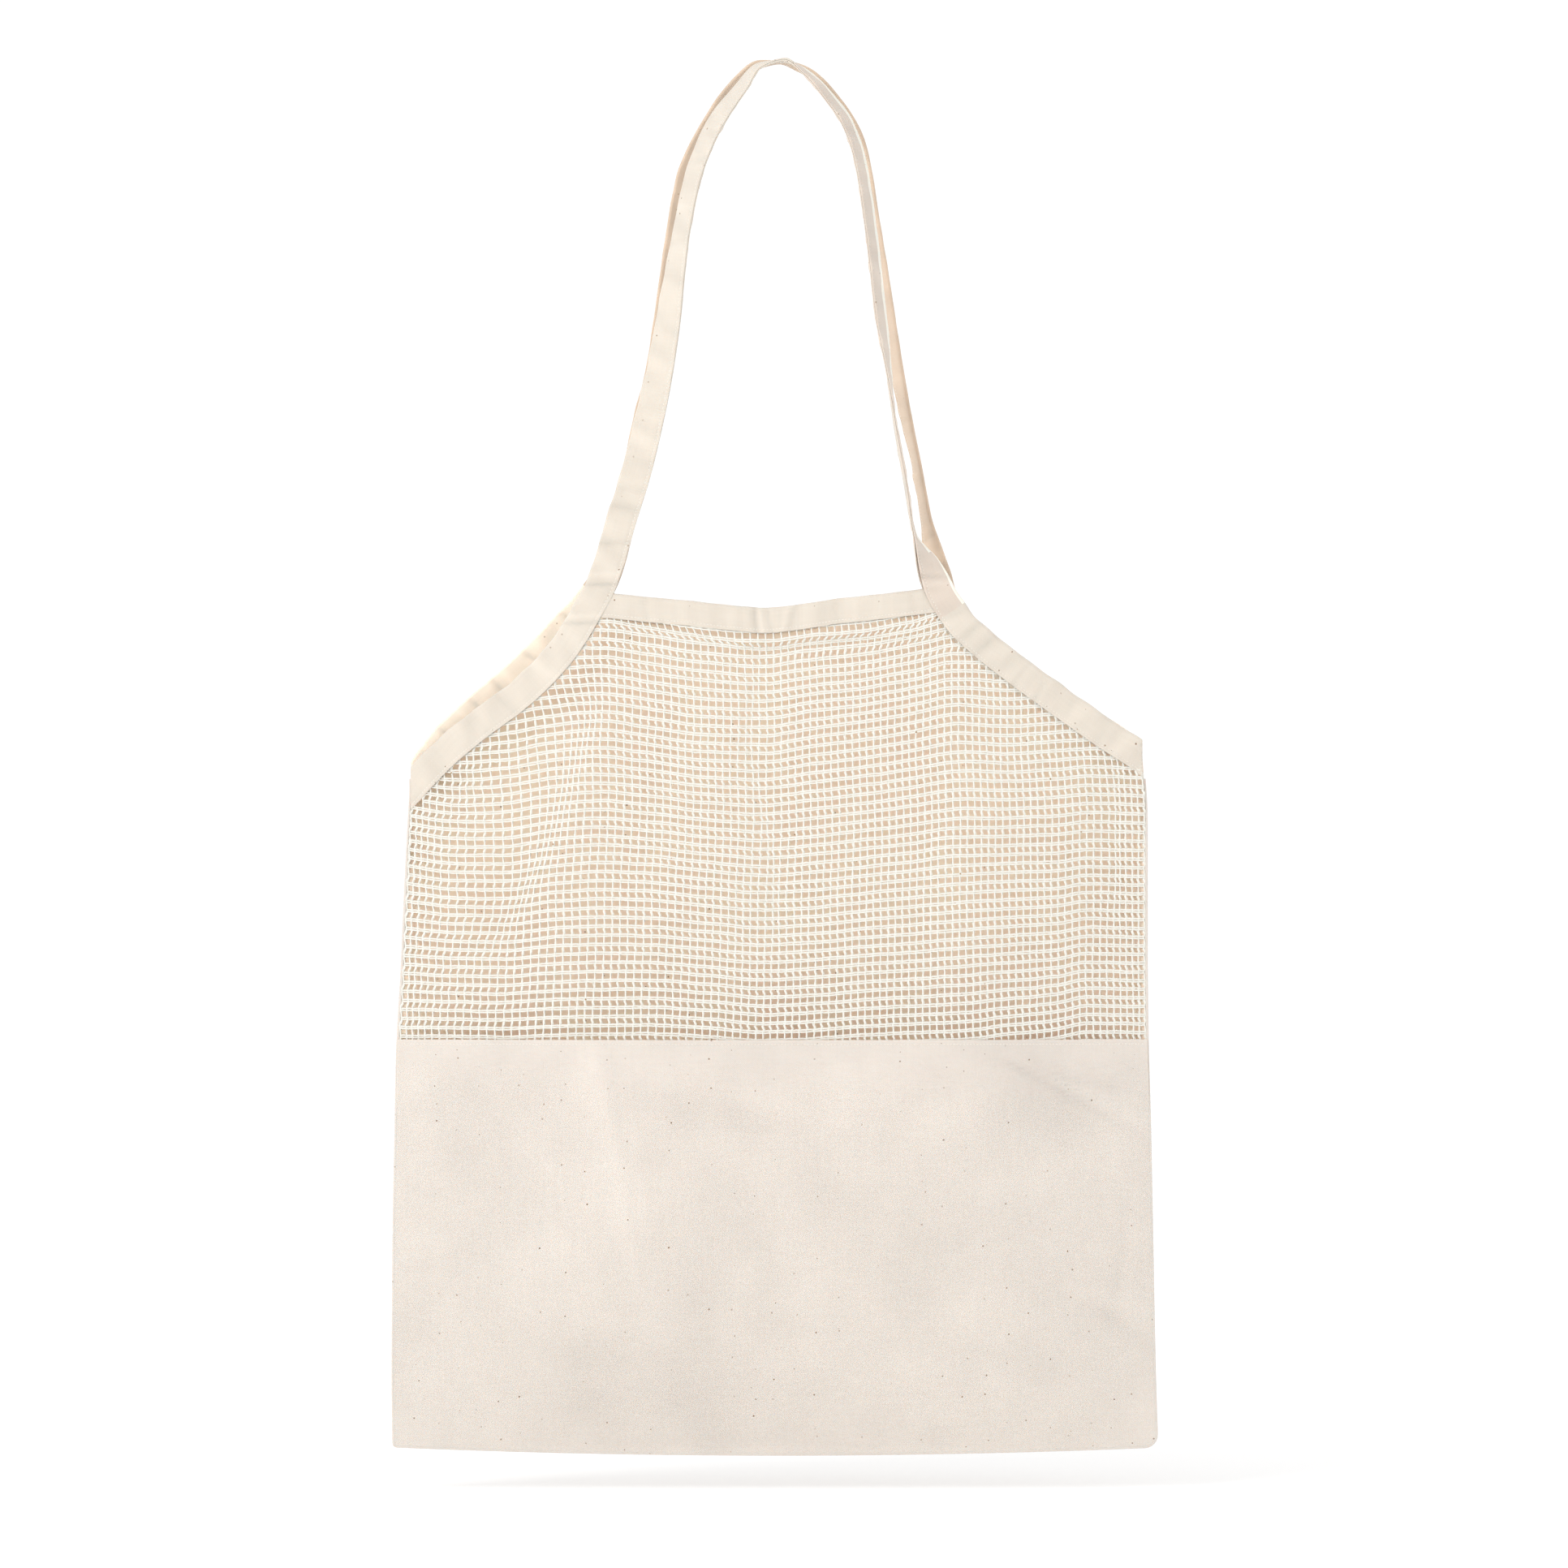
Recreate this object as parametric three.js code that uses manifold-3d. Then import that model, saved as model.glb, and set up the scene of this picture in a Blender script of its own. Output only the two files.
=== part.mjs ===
// A cotton tote with a net front, hanging from a peg by its two handles, in millimetres.
// +X is to the right as one faces the bag, +Y goes away behind it, +Z is up.
// The origin is on the underside of the handles, where they bear on the peg.
import * as THREE from 'three';
import { mergeVertices } from 'three/addons/utils/BufferGeometryUtils.js';
import Module from 'manifold-3d';

const wasm = await Module();
wasm.setup();

// Body of the bag
const bottomWidth = 380;
const cornerWidth = 366;          // between the side corners, where the shoulders start
const bodyHeight = 428;           // mouth to bottom, along the sides
const lowerPanelHeight = 203;     // plain cloth half of the front
const mouthSag = 9;               // how far the mouth droops between the handles
const bottomSag = 4;              // how far the bottom droops between its corners
const bellyDepth = 18;            // most that each wall stands off the middle plane
const bellySquareness = 2.2;      // 2 is a parabola across the bag, more is flatter in the middle
const foldDepth = 4;
const leftBottomRadius = 1.5;
const rightBottomRadius = 6;

// Shoulders and handles
const handleDrop = 262;           // peg to mouth
const handleSpread = 168;         // between the two ends of a handle at the mouth
const leftShoulderDrop = 102;
const rightShoulderDrop = 82;

// Cloth
const clothThickness = 1.0;
const netThickness = 1.2;
const tapeWidth = 15;
const tapeWall = 1.0;             // one folded side of the tape
const mouthHemHeight = 13;
const seamLap = 8;                // how far the net goes down behind the plain cloth
const clearance = 0.3;

// Facets: rows down each stretch of a panel, columns across it, and steps along the tapes
const facets = { across: 24, shoulder: 8, netSide: 7, lowerPanel: 10, backUpper: 3, backLower: 12 };
const tapeStep = 6;
const hemSteps = 20;

const mouthZ = -handleDrop;
const bottomZ = mouthZ - bodyHeight;
const seamZ = bottomZ + lowerPanelHeight;
const strapThickness = 2 * tapeWall;
const bindingThickness = (panel) => panel + 2 * clearance + 2 * tapeWall;
const edgeInset = tapeWall + clearance;      // from a tape's folded edge to the cloth inside it

// How far each side has spread from the corner width (0) to the bottom width (1).
// down is a share of the side's height.
const sideOutline = [
  { down: 0.00, left: 0.00, right: -0.14 },
  { down: 0.10, left: 0.26, right: 0.13 },
  { down: 0.28, left: 0.65, right: 0.13 },
  { down: 0.40, left: 0.95, right: 0.19 },
  { down: 0.52, left: 1.06, right: 0.35 },
  { down: 0.66, left: 1.19, right: 0.49 },
  { down: 0.90, left: 1.27, right: 0.73 },
  { down: 1.00, left: 1.21, right: 0.89 },
];

// How far the walls stand apart, down the body. Shares of the body height and of the belly depth.
const bellyProfile = [
  { down: 0.00, front: 0.62, back: 0.60 },
  { down: 0.20, front: 0.80, back: 0.76 },
  { down: 0.45, front: 1.00, back: 0.92 },
  { down: 0.70, front: 0.95, back: 0.90 },
  { down: 0.88, front: 0.64, back: 0.62 },
  { down: 0.96, front: 0.30, back: 0.30 },
  { down: 1.00, front: 0.00, back: 0.00 },
];

// Soft folds of the front: ridges are positive, valleys negative.
// across and lean are shares of half the bottom width, top, bottom of the body height,
// width of half the bottom width, depth of the fold depth.
const frontFolds = [
  { across: -0.47, lean: -0.16, top: 0.03, bottom: 0.62, width: 0.10, depth: 0.75 },
  { across: 0.47, lean: 0.03, top: 0.03, bottom: 0.58, width: 0.11, depth: 0.70 },
  { across: -0.05, lean: 0.05, top: 0.02, bottom: 0.55, width: 0.09, depth: -0.55 },
  { across: -0.72, lean: 0.06, top: 0.22, bottom: 0.60, width: 0.08, depth: -0.60 },
  { across: 0.86, lean: 0.03, top: 0.20, bottom: 0.50, width: 0.07, depth: -0.55 },
  { across: -0.43, lean: 0.10, top: 0.52, bottom: 0.90, width: 0.16, depth: 0.45 },
  { across: 0.72, lean: 0.20, top: 0.52, bottom: 0.78, width: 0.18, depth: -0.50 },
  { across: 0.05, lean: -0.20, top: 0.55, bottom: 0.85, width: 0.20, depth: -0.40 },
];
const backFolds = [
  { across: -0.30, lean: 0.10, top: 0.05, bottom: 0.70, width: 0.16, depth: 0.50 },
  { across: 0.38, lean: -0.12, top: 0.10, bottom: 0.85, width: 0.18, depth: 0.60 },
  { across: 0.02, lean: 0.05, top: 0.30, bottom: 0.92, width: 0.14, depth: -0.50 },
];

// Run of the shoulders from the mouth (0) to the side corner (1).
const frontShoulder = [
  { out: 0.00, left: 0.000, right: 0.000 },
  { out: 0.07, left: 0.126, right: 0.140 },
  { out: 0.19, left: 0.308, right: 0.287 },
  { out: 0.39, left: 0.511, right: 0.480 },
  { out: 0.64, left: 0.688, right: 0.702 },
  { out: 0.83, left: 0.836, right: 0.866 },
  { out: 1.00, left: 1.000, right: 1.000 },
];
const backShoulder = [
  { out: 0.00, left: 0.000, right: 0.000 },
  { out: 0.07, left: 0.095, right: 0.150 },
  { out: 0.19, left: 0.216, right: 0.310 },
  { out: 0.39, left: 0.412, right: 0.500 },
  { out: 0.64, left: 0.616, right: 0.712 },
  { out: 0.83, left: 0.785, right: 0.862 },
  { out: 1.00, left: 1.000, right: 1.000 },
];

// Run of the handles from the left end to the right end. across is a share of half the spread,
// down of the handle drop, depth of the wall's distance from the middle plane at the mouth.
// turn is in degrees: 0 lies flat with the wall, 90 stands edge on with the seamed edge outwards,
// so towards the viewer on the front handle and away from them on the back one.
const frontHandle = [
  { across: -1.044, down: 0.995, depth: 1.00, turn: 0 },
  { across: -0.921, down: 0.869, depth: 1.02, turn: 2 },
  { across: -0.832, down: 0.776, depth: 1.04, turn: 5 },
  { across: -0.762, down: 0.683, depth: 1.04, turn: 12 },
  { across: -0.699, down: 0.590, depth: 1.02, turn: 26 },
  { across: -0.651, down: 0.498, depth: 1.00, turn: 34 },
  { across: -0.610, down: 0.405, depth: 0.93, turn: 47 },
  { across: -0.562, down: 0.312, depth: 0.84, turn: 56 },
  { across: -0.500, down: 0.220, depth: 0.76, turn: 56 },
  { across: -0.383, down: 0.127, depth: 0.68, turn: 56 },
  { across: -0.212, down: 0.050, depth: 0.65, turn: 66 },
  { across: -0.108, down: 0.010, depth: 0.63, turn: 78 },
  { across: 0.040, down: 0.000, depth: 0.62, turn: 90 },
  { across: 0.163, down: 0.022, depth: 0.63, turn: 78 },
  { across: 0.316, down: 0.074, depth: 0.66, turn: 70 },
  { across: 0.405, down: 0.114, depth: 0.69, turn: 68 },
  { across: 0.480, down: 0.178, depth: 0.73, turn: 68 },
  { across: 0.555, down: 0.325, depth: 0.80, turn: 68 },
  { across: 0.610, down: 0.479, depth: 0.88, turn: 68 },
  { across: 0.658, down: 0.590, depth: 0.93, turn: 80 },
  { across: 0.694, down: 0.683, depth: 0.96, turn: 89 },
  { across: 0.762, down: 0.807, depth: 0.98, turn: 90 },
  { across: 0.810, down: 0.900, depth: 1.00, turn: 84 },
  { across: 0.849, down: 0.931, depth: 1.00, turn: 66 },
  { across: 0.897, down: 0.962, depth: 1.00, turn: 38 },
  { across: 0.975, down: 1.016, depth: 1.00, turn: 4 },
];
const backHandle = [
  { across: -1.040, down: 0.990, depth: 1.00, turn: 0 },
  { across: -0.928, down: 0.869, depth: 1.00, turn: 8 },
  { across: -0.839, down: 0.776, depth: 1.00, turn: 20 },
  { across: -0.788, down: 0.683, depth: 1.00, turn: 35 },
  { across: -0.723, down: 0.590, depth: 1.00, turn: 45 },
  { across: -0.680, down: 0.498, depth: 0.95, turn: 48 },
  { across: -0.598, down: 0.312, depth: 0.86, turn: 50 },
  { across: -0.545, down: 0.220, depth: 0.78, turn: 52 },
  { across: -0.410, down: 0.122, depth: 0.70, turn: 60 },
  { across: -0.231, down: 0.037, depth: 0.66, turn: 70 },
  { across: -0.110, down: 0.004, depth: 0.65, turn: 80 },
  { across: 0.020, down: 0.000, depth: 0.64, turn: 90 },
  { across: 0.155, down: 0.014, depth: 0.65, turn: 80 },
  { across: 0.340, down: 0.072, depth: 0.68, turn: 72 },
  { across: 0.486, down: 0.156, depth: 0.73, turn: 68 },
  { across: 0.570, down: 0.312, depth: 0.82, turn: 64 },
  { across: 0.616, down: 0.405, depth: 0.88, turn: 62 },
  { across: 0.712, down: 0.590, depth: 0.96, turn: 66 },
  { across: 0.769, down: 0.683, depth: 0.99, turn: 70 },
  { across: 0.833, down: 0.776, depth: 1.00, turn: 74 },
  { across: 0.883, down: 0.869, depth: 1.00, turn: 70 },
  { across: 0.912, down: 0.915, depth: 1.00, turn: 56 },
  { across: 0.940, down: 0.962, depth: 1.00, turn: 30 },
  { across: 0.978, down: 1.016, depth: 1.00, turn: 4 },
];

const lerp = THREE.MathUtils.lerp;
const clamp = THREE.MathUtils.clamp;
const ease = (x) => THREE.MathUtils.smoothstep(x, 0, 1);

// A smooth curve through points that never swings past them.
function smoothThrough(xs, ys) {
  const last = xs.length - 1;
  const slopes = xs.slice(1).map((x, i) => (ys[i + 1] - ys[i]) / (x - xs[i]));
  const tangents = xs.map((_, i) => {
    if (i === 0) return slopes[0];
    if (i === last) return slopes[last - 1];
    const [before, after] = [slopes[i - 1], slopes[i]];
    if (before * after <= 0) return 0;
    const [near, far] = [xs[i] - xs[i - 1], xs[i + 1] - xs[i]];
    const weights = [2 * far + near, far + 2 * near];
    return (weights[0] + weights[1]) / (weights[0] / before + weights[1] / after);
  });
  return (x) => {
    const at = clamp(x, xs[0], xs[last]);
    let i = 0;
    while (i < last - 1 && at > xs[i + 1]) i += 1;
    const span = xs[i + 1] - xs[i];
    const t = (at - xs[i]) / span;
    return (
      ys[i] * (1 + 2 * t) * (1 - t) ** 2 + span * tangents[i] * t * (1 - t) ** 2
      + ys[i + 1] * t * t * (3 - 2 * t) + span * tangents[i + 1] * t * t * (t - 1)
    );
  };
}

const column = (rows, from, to) => smoothThrough(rows.map((r) => r[from]), rows.map((r) => r[to]));

// Where the tape's middle line crosses the mouth and the side, for each hand and each handle
const shoulderDrops = { left: leftShoulderDrop, right: rightShoulderDrop };
const meanShoulderDrop = (leftShoulderDrop + rightShoulderDrop) / 2;
const bottomRadii = { left: leftBottomRadius, right: rightBottomRadius };
const sign = { left: -1, right: 1 };
const topOf = (z) => mouthZ - z;

function handleEnd(handle, hand) {
  const row = hand === 'left' ? handle[0] : handle[handle.length - 1];
  return { x: row.across * handleSpread / 2, z: strapThickness / 2 - row.down * handleDrop };
}

function shoulderPoint(wall, hand, out) {
  const start = handleEnd(wall.handle, hand);
  const down = column(wall.shoulder, 'out', hand)(out);
  const beyond = Math.max(0, out - 1);
  return {
    x: lerp(start.x, sign[hand] * cornerWidth / 2, out),
    z: start.z - shoulderDrops[hand] * (down + beyond),
  };
}

// Half width of the flat outline at a height, on one hand, with the bottom corner rounded
const spread = { left: column(sideOutline, 'down', 'left'), right: column(sideOutline, 'down', 'right') };

function sideX(hand, z) {
  const cornerZ = mouthZ - shoulderDrops[hand];
  const down = clamp((cornerZ - z) / (cornerZ - bottomZ), 0, 1);
  const half = lerp(cornerWidth, bottomWidth, spread[hand](down)) / 2;
  const radius = bottomRadii[hand];
  const above = clamp(z - bottomZ, 0, radius);
  return half - (radius - Math.sqrt(radius ** 2 - (radius - above) ** 2));
}

// Distance of a wall's middle surface from the bag's middle plane
function foldsAt(folds, x, z) {
  const down = topOf(z) / bodyHeight;
  let sum = 0;
  for (const fold of folds) {
    const along = (down - fold.top) / (fold.bottom - fold.top);
    if (along <= 0 || along >= 1) continue;
    const line = (fold.across + fold.lean * along) * bottomWidth / 2;
    const off = (x - line) / (fold.width * bottomWidth / 2);
    sum += foldDepth * fold.depth * Math.sin(Math.PI * along) ** 0.7 * Math.exp(-off * off);
  }
  return sum;
}

// Half the distance between the walls at the seams. It is wider where the tapes bind the edges.
function seamGap(wall, x, z) {
  const plain = (clearance + wall.thickness) / 2;
  const bound = (clearance + bindingThickness(wall.thickness)) / 2;
  const rightward = ease(0.5 + x / handleSpread);
  const tapeEndZ = mouthZ - lerp(leftShoulderDrop, rightShoulderDrop, rightward) - tapeWidth;
  return lerp(bound, plain, ease((tapeEndZ - z) / (2 * tapeWidth)));
}

function wallDepth(wall, x, z) {
  const hand = x < 0 ? 'left' : 'right';
  const across = clamp(Math.abs(x) / sideX(hand, z), 0, 1);
  const down = clamp(topOf(z) / bodyHeight, 0, 1);
  const belly = bellyDepth * wall.profile(down) * (1 - across ** bellySquareness);
  const fade = ease((1 - across) * 5) * ease((1 - down) * 10);
  return seamGap(wall, x, z) + Math.max(belly + foldsAt(wall.folds, x, z) * fade, 0);
}

const front = {
  facing: -1,
  thickness: netThickness,
  handle: frontHandle,
  shoulder: frontShoulder,
  folds: frontFolds,
  profile: column(bellyProfile, 'down', 'front'),
};
const back = {
  facing: 1,
  thickness: clothThickness,
  handle: backHandle,
  shoulder: backShoulder,
  folds: backFolds,
  profile: column(bellyProfile, 'down', 'back'),
};

function surfacePoint(wall, x, z, outwards = 0) {
  return new THREE.Vector3(x, wall.facing * (wallDepth(wall, x, z) + outwards), z);
}

function surfaceNormal(wall, x, z) {
  const step = 1;
  const acrossWall = surfacePoint(wall, x + step, z).sub(surfacePoint(wall, x - step, z));
  const upWall = surfacePoint(wall, x, z + step).sub(surfacePoint(wall, x, z - step));
  const normal = acrossWall.cross(upWall).normalize();
  return normal.multiplyScalar(Math.sign(normal.y) * wall.facing);
}

// Solids from points. A positive volume means that the faces point out.
function solidGeometry(points, triangles) {
  let volume = 0;
  for (const [a, b, c] of triangles) {
    volume += points[a].dot(new THREE.Vector3().crossVectors(points[b], points[c])) / 6;
  }
  const outward = volume > 0 ? triangles : triangles.map(([a, b, c]) => [a, c, b]);
  const geometry = new THREE.BufferGeometry();
  const positions = points.flatMap((p) => [p.x, p.y, p.z]);
  geometry.setAttribute('position', new THREE.Float32BufferAttribute(positions, 3));
  geometry.setIndex(outward.flat());
  return geometry;
}

const quad = (a, b, c, d) => [[a, b, c], [a, c, d]];

// A closed sheet from a grid of points on its two faces
function sheetGeometry(outer, inner) {
  const rows = outer.length;
  const columns = outer[0].length;
  const points = [...outer.flat(), ...inner.flat()];
  const at = (face, i, j) => face * rows * columns + i * columns + j;
  const triangles = [];
  for (let i = 0; i < rows - 1; i += 1) {
    for (let j = 0; j < columns - 1; j += 1) {
      triangles.push(...quad(at(0, i, j), at(0, i, j + 1), at(0, i + 1, j + 1), at(0, i + 1, j)));
      triangles.push(...quad(at(1, i, j), at(1, i + 1, j), at(1, i + 1, j + 1), at(1, i, j + 1)));
    }
    triangles.push(...quad(at(0, i, 0), at(0, i + 1, 0), at(1, i + 1, 0), at(1, i, 0)));
    const end = columns - 1;
    triangles.push(...quad(at(0, i + 1, end), at(0, i, end), at(1, i, end), at(1, i + 1, end)));
  }
  for (let j = 0; j < columns - 1; j += 1) {
    triangles.push(...quad(at(0, 0, j + 1), at(0, 0, j), at(1, 0, j), at(1, 0, j + 1)));
    const end = rows - 1;
    triangles.push(...quad(at(0, end, j), at(0, end, j + 1), at(1, end, j + 1), at(1, end, j)));
  }
  return solidGeometry(points, triangles);
}

// A closed band from rings of points along its length
function bandGeometry(rings) {
  const sides = rings[0].length;
  const points = rings.flat();
  const triangles = [];
  for (let i = 0; i < rings.length - 1; i += 1) {
    for (let k = 0; k < sides; k += 1) {
      const next = (k + 1) % sides;
      const [a, b] = [i * sides + k, i * sides + next];
      triangles.push(...quad(a, b, b + sides, a + sides));
    }
  }
  const end = (rings.length - 1) * sides;
  for (let k = 1; k < sides - 1; k += 1) {
    triangles.push([0, k + 1, k], [end, end + k, end + k + 1]);
  }
  return solidGeometry(points, triangles);
}

function toSolid(geometry) {
  const bare = geometry.clone();
  bare.deleteAttribute('normal');
  bare.deleteAttribute('uv');
  const merged = mergeVertices(bare, 1e-5);
  return new wasm.Manifold(new wasm.Mesh({
    numProp: 3,
    vertProperties: new Float32Array(merged.attributes.position.array),
    triVerts: new Uint32Array(merged.index.array),
  }));
}

function toGeometry(solid) {
  const mesh = solid.getMesh();
  const geometry = new THREE.BufferGeometry();
  const positions = new Float32Array(mesh.vertProperties);
  geometry.setAttribute('position', new THREE.BufferAttribute(positions, 3));
  geometry.setIndex(Array.from(mesh.triVerts));
  return geometry;
}

// The cloth edge inside the shoulder tape: how far out the wall reaches at a height
function clothEdge(wall, hand) {
  const reach = tapeWidth / 2 - edgeInset;
  const samples = 40;
  const points = [];
  for (let i = 0; i <= samples; i += 1) {
    const out = -0.12 + 1.24 * i / samples;
    const here = shoulderPoint(wall, hand, out);
    const next = shoulderPoint(wall, hand, out + 0.01);
    const run = Math.hypot(next.x - here.x, next.z - here.z);
    points.push({
      x: here.x - sign[hand] * reach * (next.z - here.z) / run,
      z: here.z + sign[hand] * reach * (next.x - here.x) / run,
    });
  }
  points.reverse();
  const shoulderX = smoothThrough(points.map((p) => p.z), points.map((p) => Math.abs(p.x)));
  return (z) => Math.min(shoulderX(z), sideX(hand, z));
}

// Height at which the cloth edge leaves the shoulder for the side
function sideCornerZ(hand, edge) {
  let z = mouthZ;
  while (edge(z) < sideX(hand, z) && z > bottomZ) z -= 0.5;
  return z;
}

// The mouth and the bottom droop, and so does the cloth near them
function droop(x, z) {
  const mouthAcross = clamp(Math.abs(x) / (handleSpread / 2), 0, 1);
  const bottomAcross = clamp(Math.abs(x) / (bottomWidth / 2), 0, 1);
  const fromMouth = clamp(topOf(z) / meanShoulderDrop, 0, 1);
  const fromBottom = clamp((z - bottomZ) / lowerPanelHeight, 0, 1);
  return (
    mouthSag * (1 - mouthAcross ** 1.4) * (1 - fromMouth) ** 1.5
    + bottomSag * (1 - bottomAcross ** 2) * ease(1 - fromBottom)
  );
}

// Rows of a panel, from the top down. Each has its left and right end.
function shoulderRows(wall, count) {
  const rows = Array.from({ length: count + 1 }, () => ({}));
  for (const hand of ['left', 'right']) {
    const edge = clothEdge(wall, hand);
    const cornerZ = sideCornerZ(hand, edge);
    rows.forEach((row, i) => {
      const z = lerp(mouthZ - edgeInset, cornerZ, i / count);
      row[hand] = { x: sign[hand] * edge(z), z };
    });
  }
  return rows;
}

function sideRows(wall, endZ, count) {
  const rows = Array.from({ length: count }, () => ({}));
  for (const hand of ['left', 'right']) {
    const cornerZ = sideCornerZ(hand, clothEdge(wall, hand));
    rows.forEach((row, i) => {
      const z = lerp(cornerZ, endZ, (i + 1) / count);
      row[hand] = { x: sign[hand] * sideX(hand, z), z };
    });
  }
  return rows;
}

function levelRow(z) {
  return {
    left: { x: -sideX('left', z), z },
    right: { x: sideX('right', z), z },
  };
}

// The same rows with their ends moved out, and the top one up
function grownRows(rows, grow) {
  const last = rows.length - 1;
  return rows.map((row, i) => {
    const grown = {};
    for (const hand of ['left', 'right']) {
      const above = rows[Math.max(i - 1, 0)][hand];
      const below = rows[Math.min(i + 1, last)][hand];
      const run = Math.hypot(below.x - above.x, below.z - above.z);
      const up = i === 0 ? grow : 0;
      grown[hand] = {
        x: row[hand].x + (sign[hand] * grow * (above.z - below.z) + up * (above.x - below.x)) / run,
        z: row[hand].z + (sign[hand] * grow * (below.x - above.x) + up * (above.z - below.z)) / run,
      };
    }
    return grown;
  });
}

function bottomRows(startZ, count) {
  const largestRadius = Math.max(leftBottomRadius, rightBottomRadius);
  const rows = [];
  for (let i = 1; i <= count; i += 1) {
    rows.push(levelRow(lerp(startZ, bottomZ + largestRadius, i / count)));
  }
  for (const share of [0.45, 0.12, 0]) {
    rows.push(levelRow(bottomZ + share * largestRadius));
  }
  return rows;
}

function panelGeometry(wall, rows, thickness, outwards = () => 0) {
  const faces = [1, -1].map((face) => rows.map(({ left, right }) => {
    const points = [];
    for (let j = 0; j <= facets.across; j += 1) {
      const x = lerp(left.x, right.x, j / facets.across);
      const level = lerp(left.z, right.z, j / facets.across);
      const z = level - droop(x, level);
      const normal = surfaceNormal(wall, x, z);
      points.push(surfacePoint(wall, x, z, outwards(level)).addScaledVector(normal, face * thickness / 2));
    }
    return points;
  }));
  return sheetGeometry(...faces);
}

// Stations of a tape: its middle, the way across it towards the seamed edge, and the way through it
function tapeStations(wall) {
  const rows = [];
  const shoulderStops = [1.10, 0.98, 0.83, 0.64, 0.46, 0.30, 0.19, 0.10];
  for (const out of shoulderStops) {
    rows.push({ ...shoulderPoint(wall, 'left', out), depth: 1, turn: 0, bound: 1 });
  }
  for (const row of wall.handle) {
    rows.push({
      x: row.across * handleSpread / 2,
      z: strapThickness / 2 - row.down * handleDrop,
      depth: row.depth,
      turn: row.turn,
      bound: 0,
    });
  }
  for (const out of [...shoulderStops].reverse()) {
    rows.push({ ...shoulderPoint(wall, 'right', out), depth: 1, turn: 0, bound: 1 });
  }
  rows.forEach((row, i) => {
    const before = rows[i - 1];
    row.along = before ? before.along + Math.hypot(row.x - before.x, row.z - before.z) : 0;
  });
  const [xAt, zAt, depthAt, turnAt, boundAt] = ['x', 'z', 'depth', 'turn', 'bound']
    .map((key) => column(rows, 'along', key));
  const length = rows[rows.length - 1].along;
  const count = Math.ceil(length / tapeStep);
  const middle = (along) => {
    const [x, z] = [xAt(along), zAt(along)];
    return new THREE.Vector3(x, wall.facing * wallDepth(wall, x, Math.min(z, mouthZ)) * depthAt(along), z);
  };
  const stations = [];
  for (let i = 0; i <= count; i += 1) {
    const along = length * i / count;
    const here = middle(along);
    const tangent = middle(Math.min(along + 1, length)).sub(middle(Math.max(along - 1, 0))).normalize();
    const facing = surfaceNormal(wall, here.x, Math.min(here.z, mouthZ)).multiplyScalar(-wall.facing);
    const across = new THREE.Vector3().crossVectors(tangent, facing).normalize();
    const through = new THREE.Vector3().crossVectors(across, tangent).normalize();
    const turn = -wall.facing * THREE.MathUtils.degToRad(turnAt(along));
    const turned = across.clone().multiplyScalar(Math.cos(turn)).addScaledVector(through, Math.sin(turn));
    stations.push({
      middle: here,
      across: turned,
      through: new THREE.Vector3().crossVectors(turned, tangent).normalize(),
      bound: ease(boundAt(along)),
    });
  }
  return stations;
}

function tapeSolid(wall, grow = 0, growThrough = grow) {
  const rings = tapeStations(wall).map(({ middle, across, through, bound }) => {
    const half = tapeWidth / 2 + grow;
    const thick = lerp(strapThickness, bindingThickness(wall.thickness), bound) / 2 + growThrough;
    return [[-1, -1], [1, -1], [1, 1], [-1, 1]].map(([a, b]) => (
      middle.clone().addScaledVector(across, a * half).addScaledVector(through, b * thick)
    ));
  });
  return toSolid(bandGeometry(rings));
}

// The tapes end in the side seams, so what runs past the sides is cut off
function sideTrim(hand) {
  const depth = 4 * bellyDepth;
  const width = bottomWidth / 4;
  const box = new THREE.BoxGeometry(width, depth, 2 * tapeWidth + shoulderDrops[hand]);
  const cornerZ = mouthZ - shoulderDrops[hand];
  box.translate(sign[hand] * (sideX(hand, cornerZ) + width / 2), 0, cornerZ);
  return toSolid(box);
}

// The net goes down behind the plain cloth, and the back wall is one cloth from mouth to bottom
const netRows = [
  ...shoulderRows(front, facets.shoulder),
  ...sideRows(front, seamZ, facets.netSide),
  levelRow(seamZ - seamLap),
];
const lowerRows = [
  levelRow(seamZ),
  levelRow(seamZ - seamLap),
  ...bottomRows(seamZ - seamLap, facets.lowerPanel),
];
const backMiddleZ = (seamZ + mouthZ) / 2;
const backRows = [
  ...shoulderRows(back, facets.shoulder),
  ...sideRows(back, backMiddleZ, facets.backUpper),
  ...bottomRows(backMiddleZ, facets.backLower),
];

function boundCloth(wall) {
  const rows = grownRows(wall === front ? netRows : backRows, clearance);
  return toSolid(panelGeometry(wall, rows, wall.thickness + 2 * clearance));
}

function handleTape(wall) {
  return tapeSolid(wall)
    .subtract(boundCloth(wall))
    .subtract(sideTrim('left'))
    .subtract(sideTrim('right'));
}

function mouthBinding(wall) {
  const ends = ['left', 'right'].map((hand) => shoulderPoint(wall, hand, 0.05).x);
  const rings = [];
  for (let i = 0; i <= hemSteps; i += 1) {
    const x = lerp(ends[0], ends[1], i / hemSteps);
    const ring = [];
    const thick = bindingThickness(wall.thickness) / 2;
    for (const [down, side] of [[0, -1], [1, -1], [1, 1], [0, 1]]) {
      const level = mouthZ - down * mouthHemHeight;
      const z = level - droop(x, level);
      ring.push(surfacePoint(wall, x, z).addScaledVector(surfaceNormal(wall, x, z), side * thick));
    }
    rings.push(ring);
  }
  return toSolid(bandGeometry(rings))
    .subtract(boundCloth(wall))
    .subtract(tapeSolid(wall, clearance, bindingThickness(wall.thickness)));
}

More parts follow.
